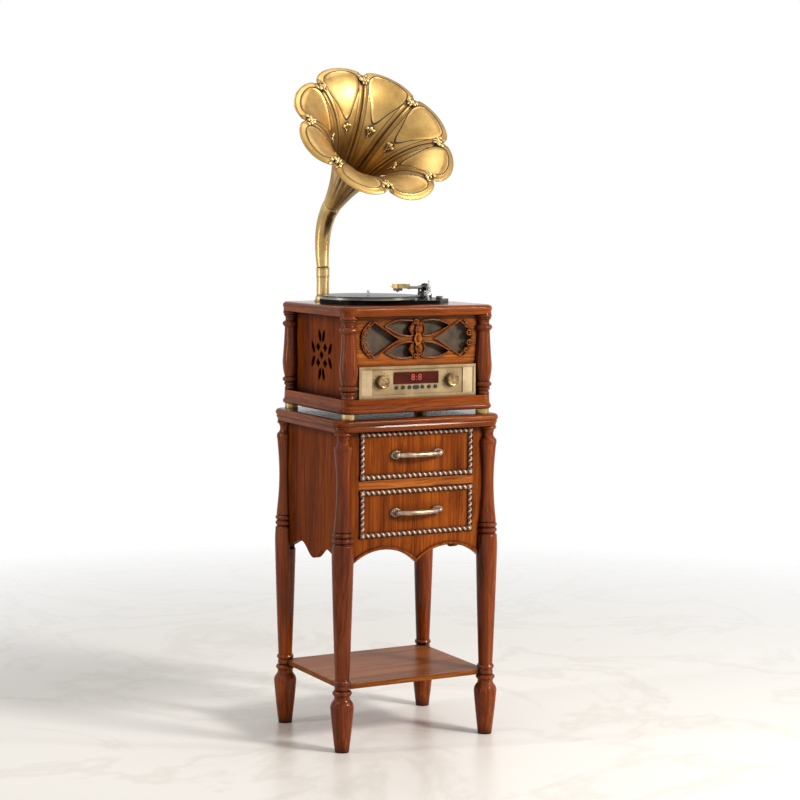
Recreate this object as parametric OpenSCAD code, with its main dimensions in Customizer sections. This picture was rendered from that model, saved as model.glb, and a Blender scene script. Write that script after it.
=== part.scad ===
// Floor-standing horn record player: a two-drawer stand, a radio and player case on
// four brass feet, a belt-driven turntable and a petalled brass horn.
// Millimetres, +Z up, the front faces -Y. The origin is on the floor, midway between the legs.

/* [Stand] */
// Spacing of the leg axes from left to right
leg_span_x = 392; // [350:1:471]
// Spacing of the leg axes from front to back
leg_span_y = 318; // [318:1:382]
// Height of the stand's top face above the floor
stand_h = 790; // [658:1:948]
// Thickness of the stand's moulded top
stand_top_t = 30; // [30:1:36]
// How far the stand's top reaches beyond the leg axes
stand_overhang = 26; // [24:0.5:32]
// Thickness of the stand's side panels
side_t = 14; // [10:0.5:18]
// Thickness of the stand's back panel
back_t = 9; // [6:0.5:12]
// Thickness of the stiles, rail, apron and drawer fronts
front_t = 16; // [13:0.5:20]
// Height of the front apron at its ends
apron_h = 64; // [54:1:77]
// Height of the rail between the drawers
rail_h = 21; // [17:1:30]
// Height of the shelf's top face above the floor
shelf_z = 160; // [158:0.5:160]
// Thickness of the shelf
shelf_t = 12; // [8:0.5:12]

/* [Drawers] */
// Height of a drawer front
drawer_h = 114; // [95:1:137]
// Gap between a drawer front and the frame round it
drawer_gap = 1.5; // [0.8:0.1:2.5]
// Width of the stile that shows on each side of the drawers, from the leg axis
stile_reach = 42; // [38:0.5:50]
// Depth of a drawer box behind its front
drawer_depth = 250; // [208:1:275]
// Wall of a drawer box
drawer_wall = 10; // [6:0.5:12]
// Floor of a drawer box
drawer_floor = 5; // [3:0.5:8]
// Width of the half-round moulding round a drawer front
rope_w = 13; // [10:0.5:16]
// Length of a handle between the centres of its mounts
handle_span = 112; // [94:1:134]
// Radius of the handle's bar
handle_r = 6.3; // [4.5:0.1:6.5]
// How far the middle of the handle's bar stands off the drawer front
handle_rise = 25; // [20:0.5:28]

/* [Player case] */
// Spacing of the column axes from left to right
col_span_x = 362; // [350:1:434]
// Spacing of the column axes from front to back
col_span_y = 313; // [300:1:375]
// Height of the case's columns and panels
col_h = 194; // [180:1:233]
// Thickness of the case's moulded base
base_t = 34; // [28:0.5:40]
// Thickness of the case's moulded top
case_top_t = 23; // [21:0.5:27]
// Height of the brass feet under the case
case_foot_h = 12; // [10:0.5:14]
// Radius of the brass feet
case_foot_r = 16.5; // [14:0.5:18]
// Thickness of the case's side and front panels
case_t = 12; // [10:0.5:14]
// How far the side panels lie inside the column axes
panel_in = 6; // [4:0.5:8]

/* [Radio] */
// Height of the faceplate
plate_h = 75; // [70:0.5:80]
// How far the faceplate's frame stands proud of the case front
plate_proud = 8; // [6:0.5:10]
// Width of the faceplate's raised frame
plate_rim = 6; // [4:0.5:8]
// Width of the plain panel at each end of the faceplate
end_w = 28; // [22:0.5:30]
// Width of the display window
display_w = 120; // [100:1:122]
// Height of the display window
display_h = 28; // [23:0.5:28]
// Radius of the volume knob
volume_r = 16.5; // [12:0.5:19]
// Radius of the tuning knob
tuning_r = 17; // [13:0.5:20]
// Radius of a push button
button_r = 4.2; // [3.5:0.1:5]
// Spacing of the push buttons
button_pitch = 17.5; // [14.6:0.1:18.5]
// Clearance round a push button
button_gap = 0.3; // [0.2:0.05:0.5]

/* [Turntable] */
// Place of the spindle from left to right
spindle_x = -50; // [-60:1:-45]
// Radius of the spindle
spindle_r = 3.6; // [3.5:0.05:3.7]
// Running clearance of every shaft in its bore, on the radius
shaft_gap = 0.05; // [0.03:0.01:0.08]
// Clearance between pieces that move past each other
rest_gap = 0.3; // [0.25:0.05:0.5]
// Height of the deck plate
deck_h = 8.5; // [7.5:0.5:10]
// Wall of the deck plate
deck_wall = 3; // [2:0.5:3.5]
// Radius of the platter
platter_r = 114; // [95:1:118]
// Height of the platter's rim
platter_h = 8; // [7:0.5:10]
// Radius of the record
record_r = 125; // [104:1:126]
// Thickness of the record
record_t = 2; // [1.5:0.1:2.4]
// Radius of the ring under the platter that the belt drives
drive_r = 55; // [46:1:60]
// Radius of the motor's pulley
pulley_r = 5; // [4:0.5:6]
// Distance from the spindle to the motor's shaft
motor_reach = 78; // [76:0.5:82]

/* [Tonearm] */
// Distance from the spindle to the tonearm's pivot
pivot_reach = 200; // [195:1:205]
// Distance from the tonearm's pivot to the stylus
arm_len = 215; // [210:1:220]
// Height of the arm's axis above the deck plate
arm_rise = 24.5; // [23:0.5:29]
// Radius of the arm's tube
arm_r = 3.5; // [3:0.1:4]
// Angle by which the cue lever holds the arm up over the record
lift_angle = 2.1; // [1.5:0.1:3]

/* [Horn] */
// Place of the horn's pipe from left to right
horn_x = -105; // [-115:1:-100]
// Place of the horn's pipe from front to back
horn_y = 138; // [134:1:142]
// Outer radius of the horn's pipe
pipe_r = 15.5; // [13:0.5:17.5]
// Wall of the pipe and the neck
pipe_wall = 2; // [1.5:0.1:2.5]
// Height of the top of the pipe's collar above the case
pipe_h = 82; // [68:1:98]
// How far in front of the pipe the middle of the mouth lies
mouth_reach = 255; // [240:1:270]
// How far above the collar the middle of the mouth lies
mouth_rise = 325; // [310:1:340]
// Radius of the mouth at the notches between the petals
notch_r = 173; // [144:1:190]
// Radius of the mouth at the tips of the petals
petal_r = 205; // [180:1:215]
// Number of petals
petals = 8; // [6:1:10]
// Thickness of the bell's sheet
sheet_t = 1.8; // [1.4:0.1:2.4]
// Angle by which the horn is turned about its pipe, from straight ahead
horn_turn = 2.5; // [-10:0.5:10]

/* [Hidden] */
$fn = 64;

// Colours
wood = [0.52, 0.25, 0.11];
dark_wood = [0.25, 0.12, 0.06];
pale_wood = [0.75, 0.6, 0.42];
brass = [0.78, 0.64, 0.38];
bronze = [0.5, 0.4, 0.28];
champagne = [0.8, 0.74, 0.55];
cream = [0.88, 0.84, 0.68];
steel = [0.75, 0.75, 0.76];
black = [0.08, 0.08, 0.08];
cloth = [0.3, 0.28, 0.24];

// Stand levels and half sizes
leg_x = leg_span_x / 2;
leg_y = leg_span_y / 2;
leg_h = stand_h - stand_top_t;
top_gap = 2.5;
upper_z1 = leg_h - top_gap;
upper_z0 = upper_z1 - drawer_h;
rail_z0 = upper_z0 - drawer_gap - rail_h;
lower_z1 = rail_z0 - drawer_gap;
lower_z0 = lower_z1 - drawer_h;
apron_z1 = lower_z0 - drawer_gap;
apron_z0 = apron_z1 - apron_h;
inner_x = leg_x - side_t;
drawer_w = 2 * (leg_x - stile_reach - drawer_gap);
frame_y = -leg_y;

// Turning of a leg, from the floor up: height, radius, bulge of the curve to the next row
leg_low = [
    [0, 17, 0.5], [104, 28, 0.4], [113, 27.4, 0.8], [123, 22, -0.8], [130, 19, -0.5],
    [135, 19.6, 0], [136, 20.5, 3], [147, 20.5, 0], [147.6, 17, 1.6], [161, 17, 0],
    [161.6, 18.5, 2.5], [173, 18.5, 0], [173.6, 17.3, 0.5]
];
// The same, measured down from the top of the leg
leg_high = [
    [310, 26, 0.5], [272, 25.2, 1.6], [263, 21.5, 0], [262, 20.5, 0], [261.4, 21.5, 3.5],
    [249, 21.5, 0], [248.4, 20.5, 0], [247.8, 21.5, 3.5], [236, 21.5, 0], [235, 20.5, 0],
    [234, 22.4, -5.9], [47, 20.6, 0.9], [35, 21.2, 0.5], [33, 20.4, -1.6], [22, 13.8, -0.6],
    [13, 15, -0.8], [8, 18.6, 2], [0, 18.6, 0]
];
shelf_cut_r = 19;

// Side panel's lower edge: heights above the apron's foot
side_end_z = 7;
side_peak_z = 32;
side_drop_z = 0;
side_peak_y = 65;

// Front apron's arches
cusp_half = 3;
arch_out = 22;
arch_foot = 3;
arch_rise = 33;
arch_bead = 7;
arch_proud = 4;
bead_end = 27.5;

// Drawer boxes and runners
box_h = drawer_h - 26;
box_lift = 10;
runner_wall = 0.5;
runner_t = 8;
runner_foot = 18;

// Handle plates
leaf_len = 34;
leaf_w = 20;
leaf_t = 3;
post_r = 4.5;

// Case levels and half sizes
col_x = col_span_x / 2;
col_y = col_span_y / 2;
case_z0 = stand_h + case_foot_h;
base_z1 = case_z0 + base_t;
col_z1 = base_z1 + col_h;
deck_z0 = col_z1 + case_top_t;
wall_x = col_x - panel_in - case_t;
front_in = -col_y + case_t;
case_back_t = 8;

// How far the centre of a slab's rounded corner lies inside the column or leg axes
corner_in = 4;

// Turning of a column, from its foot up and from its top down
col_low = [
    [0, 16.4, 0.8], [6, 16.4, 0], [6.5, 15.6, 0], [10.5, 15.6, 0], [11, 17, 1.8],
    [18, 17, 0], [18.4, 16.2, 0], [19.5, 19, 3.6], [31, 19, 0], [32, 16.8, 0],
    [33, 17.4, 1.2], [70, 22.4, -0.4]
];
col_high = [
    [40, 16.8, 0], [39, 18.6, 0], [37.5, 19.2, 3.6], [25.5, 19.2, 0], [24.5, 16, -1.2],
    [13.5, 16.6, 0], [12.8, 18.2, 1.4], [8.4, 18.2, 0], [7.8, 20, 1], [0, 20, 0]
];

// Fretwork of the case front, measured from its middle
fret_drop = 55.5;
fan_tip = 46;
fan_end = 146;
fan_x = 115;
fan_z = 40;
leaf_tip = [85, 31];
leaf_top = [13, 41];
leaf_low = [15, 9];
rib_grow = 4;
rib_proud = 3;

// Side fretwork
motif_z = base_z1 + 94;
diamond = [11.5, 11.5];
diamond_at = [19, 19];
petal_len = 34;
petal_w = 15;

// Faceplate
plate_z0 = base_z1;
plate_x = col_x - 24;
panel_y = -col_y - plate_proud / 2;
plate_in = -col_y + 3;
knob_z = plate_z0 + 39;
radio_x = -4;
volume_x = -(plate_x - plate_rim - end_w - 26);
tuning_x = plate_x - plate_rim - end_w - 33;
knob_shaft_r = 3;
display_z = plate_z0 + 46.5;
button_z = plate_z0 + 24;
button_in = 4;
button_out = 2.5;
button_back = plate_in + button_in;
button_travel = 2;
wide_button = 7;
chassis_y = button_back + button_travel + 1;
chassis_depth = 110;

// Speakers
speaker_x = 88;
speaker_r = 46;
speaker_z = base_z1 + 138;
cloth_t = 1;

// Turntable levels
deck_z1 = deck_z0 + deck_h;
platter_z0 = deck_z1 + 1;
platter_z1 = platter_z0 + platter_h;
record_z1 = platter_z1 + record_t;
motor_turn = 45;
motor_x = spindle_x + motor_reach * cos(motor_turn);
motor_y = motor_reach * sin(motor_turn);
motor_r = 16;
motor_shaft_r = 1.5;
well = 75;
belt_t = 1;
bearing_r = 9;
bearing_drop = 24;

// Tonearm geometry
pivot_turn = 20;
pivot_x = spindle_x + pivot_reach * cos(pivot_turn);
pivot_y = pivot_reach * sin(pivot_turn);
arm_z = deck_z1 + arm_rise;
stylus_turn = 225;
shell_len = 40;
shell_offset = 26.8;
tube_len = sqrt(pow(arm_len, 2) - pow(shell_len * sin(shell_offset), 2)) - shell_len * cos(shell_offset);
arm_turn = stylus_turn + asin(shell_len * sin(shell_offset) / arm_len);
park_swing = 17.2;
trunnion_r = 1.5;
yoke_half = 8;
yoke_t = 3;
stub_len = 44;
stub_r = 2.5;
rest_reach = 120;
rest_x = pivot_x + rest_reach * cos(arm_turn + park_swing);
rest_y = pivot_y + rest_reach * sin(arm_turn + park_swing);
cue_x = 140;
cue_y = 41;
cue_ear = 6.5;
cue_rise = 7;
cue_pin_r = 1.5;
cue_len = 34;
speed_x = 128;
speed_y = -32;

// Deck plate outline, as corners of a rounded polygon
deck_left = -142;
deck_right = 166;
deck_half_y = 95;
deck_cut = [95, -15];
deck_round = 20;

// Horn geometry in its own plane: distance ahead of the pipe, height above the collar
joint_at = [48, 155];
neck_back = [-10, 60];
neck_turn = [-4, 115];
neck_r0 = pipe_r - 1;
neck_r1 = 22.5;
neck_sides = 24;
neck_rings = 18;
mouth_at = [mouth_reach, mouth_rise];
bell_len = norm(mouth_at - joint_at);
bell_tilt = atan2(mouth_rise - joint_at[1], mouth_reach - joint_at[0]);
bell_knee = [20, 88];
bell_throat = [120, 44];
petal_phase = 13;
petal_steps = 10;
bell_rings = 18;
petal_curl = 0.16;
lobe_depth = 0.045;

// A cubic curve of n steps between two points, with two control points
function curve(a, b, c, d, n) = [for (i = [0:n]) let (t = i / n)
    a * pow(1 - t, 3) + b * 3 * t * pow(1 - t, 2) + c * 3 * pow(t, 2) * (1 - t) + d * pow(t, 3)];

// Points of an arc
function arc(cx, cy, r, a0, a1, n) = [for (i = [0:n]) let (a = a0 + (a1 - a0) * i / n)
    [cx + r * cos(a), cy + r * sin(a)]];

// One stretch of a turning, without its last point
function stretch(a, b) = a[2] == 0 ? [[a[1], a[0]]] :
    let (n = abs(b[0] - a[0]) > 60 ? 14 : 6)
    [for (i = [0:n - 1]) let (t = i / n)
        [a[1] + (b[1] - a[1]) * t + a[2] * sin(180 * t), a[0] + (b[0] - a[0]) * t]];

// The whole half outline of a turning of a given height
function turning(low, high, h) =
    let (rows = concat(low, [for (r = high) [h - r[0], r[1], r[2]]]))
    concat([[0, 0]], [for (k = [0:len(rows) - 2]) each stretch(rows[k], rows[k + 1])],
        [[rows[len(rows) - 1][1], h], [0, h]]);

// An edge profile put on both ends of a slab's section
function both_ends(half, edge) = concat(
    [for (p = edge) [half + p[0], p[1]]],
    [for (i = [len(edge) - 1:-1:0]) [-half - edge[i][0], edge[i][1]]]);

// A closed outline grown by a distance about its middle
function middle(pts) = [for (k = [0, 1]) (min([for (p = pts) p[k]]) + max([for (p = pts) p[k]])) / 2];
function grown(pts, by) = let (m = middle(pts))
    [for (p = pts) let (v = p - m) m + v * (1 + by / norm(v))];

// Rounded polygon: each corner becomes an arc of n steps
function corner(a, b, c, r, n) =
    let (u = (a - b) / norm(a - b), v = (c - b) / norm(c - b), half = acos(u * v) / 2,
        m = (u + v) / norm(u + v), o = b + m * r / sin(half), s = b + u * r / tan(half) - o,
        side = sign(u[1] * v[0] - u[0] * v[1]), sweep = 180 - 2 * half)
    [for (i = [0:n]) let (w = side * sweep * i / n)
        o + [s[0] * cos(w) - s[1] * sin(w), s[0] * sin(w) + s[1] * cos(w)]];
function rounded(pts, r, n) = let (k = len(pts))
    [for (i = [0:k - 1]) each corner(pts[(i + k - 1) % k], pts[i], pts[(i + 1) % k], r, n)];

// A slab with the same moulded edge on all four sides, carried round its corners
module moulded_slab(half_x, half_y, edge) {
    in_x = half_x - corner_in;
    in_y = half_y - corner_in;
    rim = concat([[0, edge[0][1]]], [for (p = edge) [corner_in + p[0], p[1]]],
        [[0, edge[len(edge) - 1][1]]]);
    union() {
        rotate([90, 0, 90]) linear_extrude(height = 2 * in_x, center = true)
            polygon(both_ends(half_y, edge));
        for (a = [0, 1])
            mirror([a, 0, 0]) translate([in_x, 0, 0]) {
                rotate([90, 0, 0]) linear_extrude(height = 2 * in_y, center = true)
                    polygon(rim);
                for (b = [0, 1])
                    mirror([0, b, 0]) translate([0, in_y, 0]) rotate_extrude(angle = 90)
                        polygon(rim);
            }
    }
}

module box(lo, hi) {
    translate(lo) cube(hi - lo);
}

// A pointed leaf lying along Y, made where two discs cross
module leaf(len, w) {
    r = (pow(len, 2) + pow(w, 2)) / (4 * w);
    intersection() {
        translate([r - w / 2, 0]) circle(r);
        translate([w / 2 - r, 0]) circle(r);
    }
}

// Puts a drawing in the XZ plane, extruded towards -Y from y
module face_front(y, t) {
    translate([0, y, 0]) rotate([90, 0, 0]) linear_extrude(height = t) children();
}

// Puts a solid that stands on Z so that it points to -Y
module point_front(x, y, z) {
    translate([x, y, z]) rotate([90, 0, 0]) children();
}

// Stand

module stand_legs() {
    color(wood)
    for (sx = [-1, 1], sy = [-1, 1]) {
        difference() {
            translate([sx * leg_x, sy * leg_y, 0]) rotate_extrude()
                polygon(turning(leg_low, leg_high, leg_h));
            translate([sx * (leg_x - 50), sy * (leg_y - 50), apron_z0 + leg_h])
                cube([100, 100, 2 * leg_h], center = true);
        }
    }
}

stand_edge = concat(
    [[20.6, 0], [20.6, 2]],
    curve([21, 3], [21.2, 6.5], [22.5, 8.5], [24, 9.5], 4),
    arc(stand_overhang - 9, stand_top_t - 9.5, 9, -50, 90, 12),
    [[stand_overhang - 12, stand_top_t]]);

module stand_top() {
    color(wood) translate([0, 0, leg_h]) moulded_slab(leg_x, leg_y, stand_edge);
}

function side_foot(y) = abs(y) < side_peak_y
    ? side_drop_z + (side_peak_z - side_drop_z) * (1 - cos(180 * abs(y) / side_peak_y)) / 2
    : side_end_z + (side_peak_z - side_end_z)
        * (1 + cos(180 * (abs(y) - side_peak_y) / (leg_y - side_peak_y))) / 2;

module side_outline() {
    n = 48;
    polygon(concat(
        [for (i = [0:n]) let (y = -leg_y + leg_span_y * i / n) [y, apron_z0 + side_foot(y)]],
        [[leg_y, leg_h], [-leg_y, leg_h]]));
}

module stand_side_panels() {
    color(wood)
    for (x = [-leg_x, inner_x])
        translate([x, 0, 0]) rotate([90, 0, 90]) linear_extrude(height = side_t) side_outline();
}

module stand_back_panel() {
    color(wood) box([-inner_x, leg_y - back_t, apron_z0 + side_peak_z], [inner_x, leg_y, leg_h]);
}

module front_stiles() {
    color(wood)
    for (s = [-1, 1])
        translate([s > 0 ? leg_x - stile_reach : -inner_x, frame_y, apron_z1])
            cube([stile_reach - side_t, front_t, leg_h - apron_z1]);
}

module middle_rail() {
    half = leg_x - stile_reach;
    color(wood) box([-half, frame_y, rail_z0], [half, frame_y + front_t, rail_z0 + rail_h]);
}

module front_apron() {
    chord = leg_x - arch_out - cusp_half;
    r = (pow(chord / 2, 2) + pow(arch_rise, 2)) / (2 * arch_rise);
    cz = apron_z0 + arch_foot + arch_rise - r;
    cx = cusp_half + chord / 2;
    module arches(grow) {
        for (s = [-1, 1])
            translate([s * cx, cz]) circle(r + grow, $fn = 180);
    }
    color(wood)
    union() {
        face_front(frame_y + front_t, front_t) difference() {
            translate([-inner_x, apron_z0]) square([2 * inner_x, apron_h]);
            arches(0);
        }
        bead(0, arch_bead, arch_proud - 1.4);
        bead(1.5, arch_bead - 1.5, arch_proud);
    }
    module bead(low, high, t) {
        face_front(frame_y, t) difference() {
            intersection() {
                translate([-leg_x + bead_end, apron_z0]) square([2 * (leg_x - bead_end), apron_h]);
                arches(high);
            }
            arches(low);
        }
    }
}

module runner(side, z) {
    guide = drawer_w / 2 - 2.5 + runner_wall;
    mirror([side > 0 ? 0 : 1, 0, 0]) union() {
        box([guide - runner_foot, frame_y + front_t, z - runner_t], [inner_x, leg_y - back_t, z]);
        box([guide, frame_y + front_t, z - runner_t], [inner_x, leg_y - back_t, z + 14]);
    }
}

module drawer_runners() {
    color(pale_wood)
    for (side = [-1, 1], z = [lower_z0, upper_z0])
        runner(side, z + box_lift - rest_gap);
}

module lower_shelf() {
    color(wood)
    translate([0, 0, shelf_z - shelf_t]) linear_extrude(height = shelf_t) difference() {
        square([leg_span_x, leg_span_y], center = true);
        for (sx = [-1, 1], sy = [-1, 1])
            translate([sx * leg_x, sy * leg_y]) circle(shelf_cut_r);
    }
}

// Drawers

module drawer_box(z0) {
    half = drawer_w / 2 - 2.5;
    y0 = frame_y + front_t;
    z = z0 + box_lift;
    color(pale_wood)
    difference() {
        box([-half, y0, z], [half, y0 + drawer_depth, z + box_h]);
        box([-half + drawer_wall, y0 + drawer_wall, z + drawer_floor],
            [half - drawer_wall, y0 + drawer_depth - drawer_wall, z + box_h + 1]);
    }
}

module drawer_front(z0) {
    color(wood)
    box([-drawer_w / 2, frame_y, z0], [drawer_w / 2, frame_y + front_t, z0 + drawer_h]);
}

module drawer_moulding(z0) {
    r = rope_w / 2;
    color(dark_wood)
    intersection() {
        union() {
            for (z = [z0 + r, z0 + drawer_h - r])
                translate([-drawer_w / 2, frame_y, z]) rotate([0, 90, 0])
                    cylinder(h = drawer_w, r = r);
            for (x = [-drawer_w / 2 + r, drawer_w / 2 - r])
                translate([x, frame_y, z0]) cylinder(h = drawer_h, r = r);
        }
        box([-drawer_w / 2, frame_y - r, z0], [drawer_w / 2, frame_y, z0 + drawer_h]);
    }
}

module drawer_handle(z0) {
    z = z0 + drawer_h / 2;
    half = handle_span / 2;
    sag = handle_rise - 12;
    r = (pow(half, 2) + pow(sag, 2)) / (2 * sag);
    reach = asin(half / r);
    color(bronze)
    union() {
        for (s = [-1, 1]) {
            point_front(s * half, frame_y, z) rotate([0, 0, 90])
                linear_extrude(height = leaf_t) leaf(leaf_len, leaf_w);
            point_front(s * half, frame_y, z) cylinder(h = handle_rise - sag, r = post_r);
            translate([s * half, frame_y - handle_rise + sag, z]) sphere(handle_r + 1.2);
        }
        translate([0, frame_y - handle_rise + r, z]) rotate([0, 0, -90 - reach])
            rotate_extrude(angle = 2 * reach, $fn = 128) translate([r, 0]) circle(handle_r, $fn = 32);
    }
}

// Player case

module case_feet() {
    color(brass)
    for (sx = [-1, 1], sy = [-1, 1])
        translate([sx * col_x, sy * col_y, stand_h]) cylinder(h = case_foot_h, r = case_foot_r);
}

base_edge = concat(
    [[17, 0]],
    arc(16.5, 6.5, 6.5, -75, 60, 9),
    curve([19.8, 13], [18.6, 15], [18.8, base_t - 8], [18.2, base_t], 5));

module case_base() {
    color(wood) translate([0, 0, case_z0]) moulded_slab(col_x, col_y, base_edge);
}

module case_columns() {
    color(wood)
    for (sx = [-1, 1], sy = [-1, 1]) {
        difference() {
            translate([sx * col_x, sy * col_y, base_z1]) rotate_extrude()
                polygon(turning(col_low, col_high, col_h));
            translate([sx * (col_x - panel_in - 50), sy * (col_y - 50), base_z1 + col_h / 2])
                cube([100, 100, 2 * col_h], center = true);
        }
    }
}

module diamond_cut(at) {
    translate(at) polygon([[-diamond[0], 0], [0, -diamond[1]], [diamond[0], 0], [0, diamond[1]]]);
}

module side_motif() {
    diamond_cut([0, 0]);
    for (sx = [-1, 1], sy = [-1, 1]) {
        diamond_cut([sx * diamond_at[0], sy * diamond_at[1]]);
        translate([sx * 10, sy * 46]) rotate([0, 0, -sx * sy * 18]) leaf(petal_len, petal_w);
        translate([sx * 46, sy * 17]) rotate([0, 0, -sx * sy * 32]) leaf(petal_len, petal_w);
    }
}

module case_side_panels() {
    color(wood)
    for (x = [-wall_x - case_t, wall_x])
        translate([x, 0, 0]) rotate([90, 0, 90]) linear_extrude(height = case_t) difference() {
            translate([-col_y, base_z1]) square([col_span_y, col_h]);
            translate([0, motif_z]) side_motif();
        }
}

// Openings of the fretwork, for the right-hand and upper quarter
fan_pts = concat(
    curve([fan_tip, 0], [62, 3], [88, 24], [fan_x, fan_z], 8),
    curve([fan_x + 4, fan_z - 4], [128, 26], [142, 30], [fan_end, 0], 6));
fan_open = concat(fan_pts, [for (i = [len(fan_pts) - 2:-1:1]) [fan_pts[i][0], -fan_pts[i][1]]]);
leaf_open = concat(
    curve(leaf_tip, [60, 44], [34, 46], leaf_top, 8),
    curve([17, 33], [24, 27], [24, 20], leaf_low, 5),
    curve([22, 8], [44, 9], [66, 20], leaf_tip + [-2, -2], 7));

module at_four() {
    for (a = [0, 1], b = [0, 1])
        mirror([a, 0]) mirror([0, b]) children();
}

module fret_openings(grow) {
    for (a = [0, 1])
        mirror([a, 0]) polygon(grow == 0 ? fan_open : grown(fan_open, grow));
    at_four() polygon(grow == 0 ? leaf_open : grown(leaf_open, grow));
}

module case_front_panel() {
    z0 = plate_z0 + plate_h;
    color(wood)
    union() {
        face_front(front_in, case_t) difference() {
            translate([-wall_x, z0]) square([2 * wall_x, col_z1 - z0]);
            translate([0, col_z1 - fret_drop]) fret_openings(0);
        }
        face_front(-col_y, rib_proud) translate([0, col_z1 - fret_drop]) difference() {
            fret_openings(rib_grow);
            fret_openings(0);
        }
        face_front(-col_y, 2 * rib_proud) translate([0, col_z1 - fret_drop]) difference() {
            leaf(34, 20);
            leaf(18, 9);
        }
    }
}

module grille_cloths() {
    color(cloth)
    union() {
        box([-wall_x + 4, front_in, plate_z0 + plate_h + 3], [wall_x - 4, front_in + cloth_t, col_z1 - 3]);
        for (x = [-wall_x, wall_x - cloth_t])
            box([x, -75, motif_z - 72], [x + cloth_t, 75, motif_z + 72]);
    }
}

module case_back_panel() {
    slots = 7;
    color(wood)
    difference() {
        box([-wall_x, col_y - case_back_t, base_z1], [wall_x, col_y, col_z1]);
        for (i = [0:slots - 1], z = [base_z1 + 110, base_z1 + 150])
            translate([(i - (slots - 1) / 2) * 30, col_y, z]) rotate([90, 0, 0])
                linear_extrude(height = 3 * case_back_t, center = true) leaf(30, 8);
    }
}

top_edge = concat(
    [[21.4, 0], [21.4, 1.5]],
    arc(14, case_top_t - 9.5, 9, -35, 90, 12),
    [[11, case_top_t]]);

module case_top() {
    color(wood)
    difference() {
        translate([0, 0, col_z1]) moulded_slab(col_x, col_y, top_edge);
        box([spindle_x - well, -well, col_z1 - 1], [spindle_x + well, well, deck_z0 + 1]);
    }
}

module speakers() {
    color(black)
    for (s = [-1, 1])
        translate([s * speaker_x, front_in + cloth_t, speaker_z]) rotate([-90, 0, 0])
            rotate_extrude()
                polygon([[0, 14], [8, 16], [34, 4], [speaker_r - 6, 0], [speaker_r, 0], [speaker_r, 3],
                    [38, 4], [24, 26], [24, 42], [0, 42]]);
}

module tuner_chassis() {
    half = plate_x - 10;
    color(steel)
    difference() {
        box([-half, chassis_y, base_z1], [half, chassis_y + chassis_depth, plate_z0 + plate_h - 5]);
        for (x = [volume_x, tuning_x])
            point_front(x, chassis_y + 12, knob_z) cylinder(h = 20, r = knob_shaft_r + 2);
    }
}

module button_hole(i, grow) {
    r = button_r + grow;
    translate([radio_x + (i - 4) * button_pitch, button_z]) {
        if (i == 4) {
            for (s = [-1, 1])
                translate([s * wide_button / 2, 0]) circle(r);
            square([wide_button, 2 * r], center = true);
        } else {
            circle(r);
        }
    }
}

module faceplate() {
    z1 = plate_z0 + plate_h;
    color(champagne)
    difference() {
        union() {
            box([-wall_x, -col_y, plate_z0], [wall_x, plate_in, z1]);
            box([-plate_x, panel_y, plate_z0], [plate_x, -col_y, z1]);
            difference() {
                box([-plate_x, -col_y - plate_proud, plate_z0], [plate_x, panel_y, z1]);
                box([-plate_x + plate_rim, -col_y - plate_proud - 1, plate_z0 + plate_rim],
                    [plate_x - plate_rim, panel_y + 1, z1 - plate_rim]);
            }
        }
        face_front(plate_in + 1, plate_proud + 10)
            for (i = [1:7]) button_hole(i, button_gap);
        for (x = [volume_x, tuning_x])
            point_front(x, plate_in + 1, knob_z) cylinder(h = 20, r = knob_shaft_r + shaft_gap);
    }
}

module end_plates() {
    color(cream)
    for (s = [-1, 1])
        translate([s * (plate_x - plate_rim - 0.5 - end_w / 2), panel_y - 1, plate_z0 + plate_h / 2])
            cube([end_w, 2, plate_h - 2 * plate_rim - 1], center = true);
}

module display_window() {
    color([0.3, 0.08, 0.05])
    translate([radio_x, panel_y - 1, display_z]) cube([display_w, 2, display_h], center = true);
}

// A fluted knob on its shaft, facing -Y
module knob(x, r) {
    flutes = 16;
    depth = 15;
    point_front(x, panel_y - 0.4, knob_z) union() {
        translate([0, 0, -8]) cylinder(h = 9, r = knob_shaft_r);
        cylinder(h = 3, r = r);
        difference() {
            rotate_extrude() polygon([[0, 0], [r - 2, 0], [r - 2, depth - 1.5], [r - 4, depth],
                [r - 6, depth - 0.8], [0, depth - 0.8]]);
            for (i = [0:flutes - 1])
                rotate([0, 0, 360 * (i + 0.5) / flutes]) translate([r - 1.8, 0, 3.5])
                    cylinder(h = depth, r = 1.1, $fn = 16);
        }
    }
}

module volume_knob() {
    color(champagne) knob(volume_x, volume_r);
}

module tuning_knob() {
    color(champagne) knob(tuning_x, tuning_r);
}

module button(i) {
    color(black)
    face_front(button_back, button_back - panel_y + button_out) button_hole(i, 0);
}

module rear_sockets() {
    y = col_y;
    color(black)
    union() {
        difference() {
            box([-45, y, base_z1 + 20], [45, y + 3, base_z1 + 60]);
            box([-38, y - 1, base_z1 + 31], [-14, y + 4, base_z1 + 49]);
        }
        difference() {
            box([-40, y, base_z1 + 29], [-12, y + 8, base_z1 + 51]);
            box([-37, y + 2, base_z1 + 32], [-15, y + 9, base_z1 + 48]);
        }
        for (x = [4, 20, 36])
            translate([x, y + 2, base_z1 + 40]) rotate([-90, 0, 0]) cylinder(h = 9, r = 4.2);
    }
}

// Turntable

function deck_corners(inset) = [
    [deck_left + inset, -deck_half_y + inset], [deck_cut[0] - inset / 3, -deck_half_y + inset],
    [deck_right - inset, deck_cut[1] + inset / 3], [deck_right - inset, deck_half_y - inset],
    [deck_left + inset, deck_half_y - inset]
];

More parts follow.
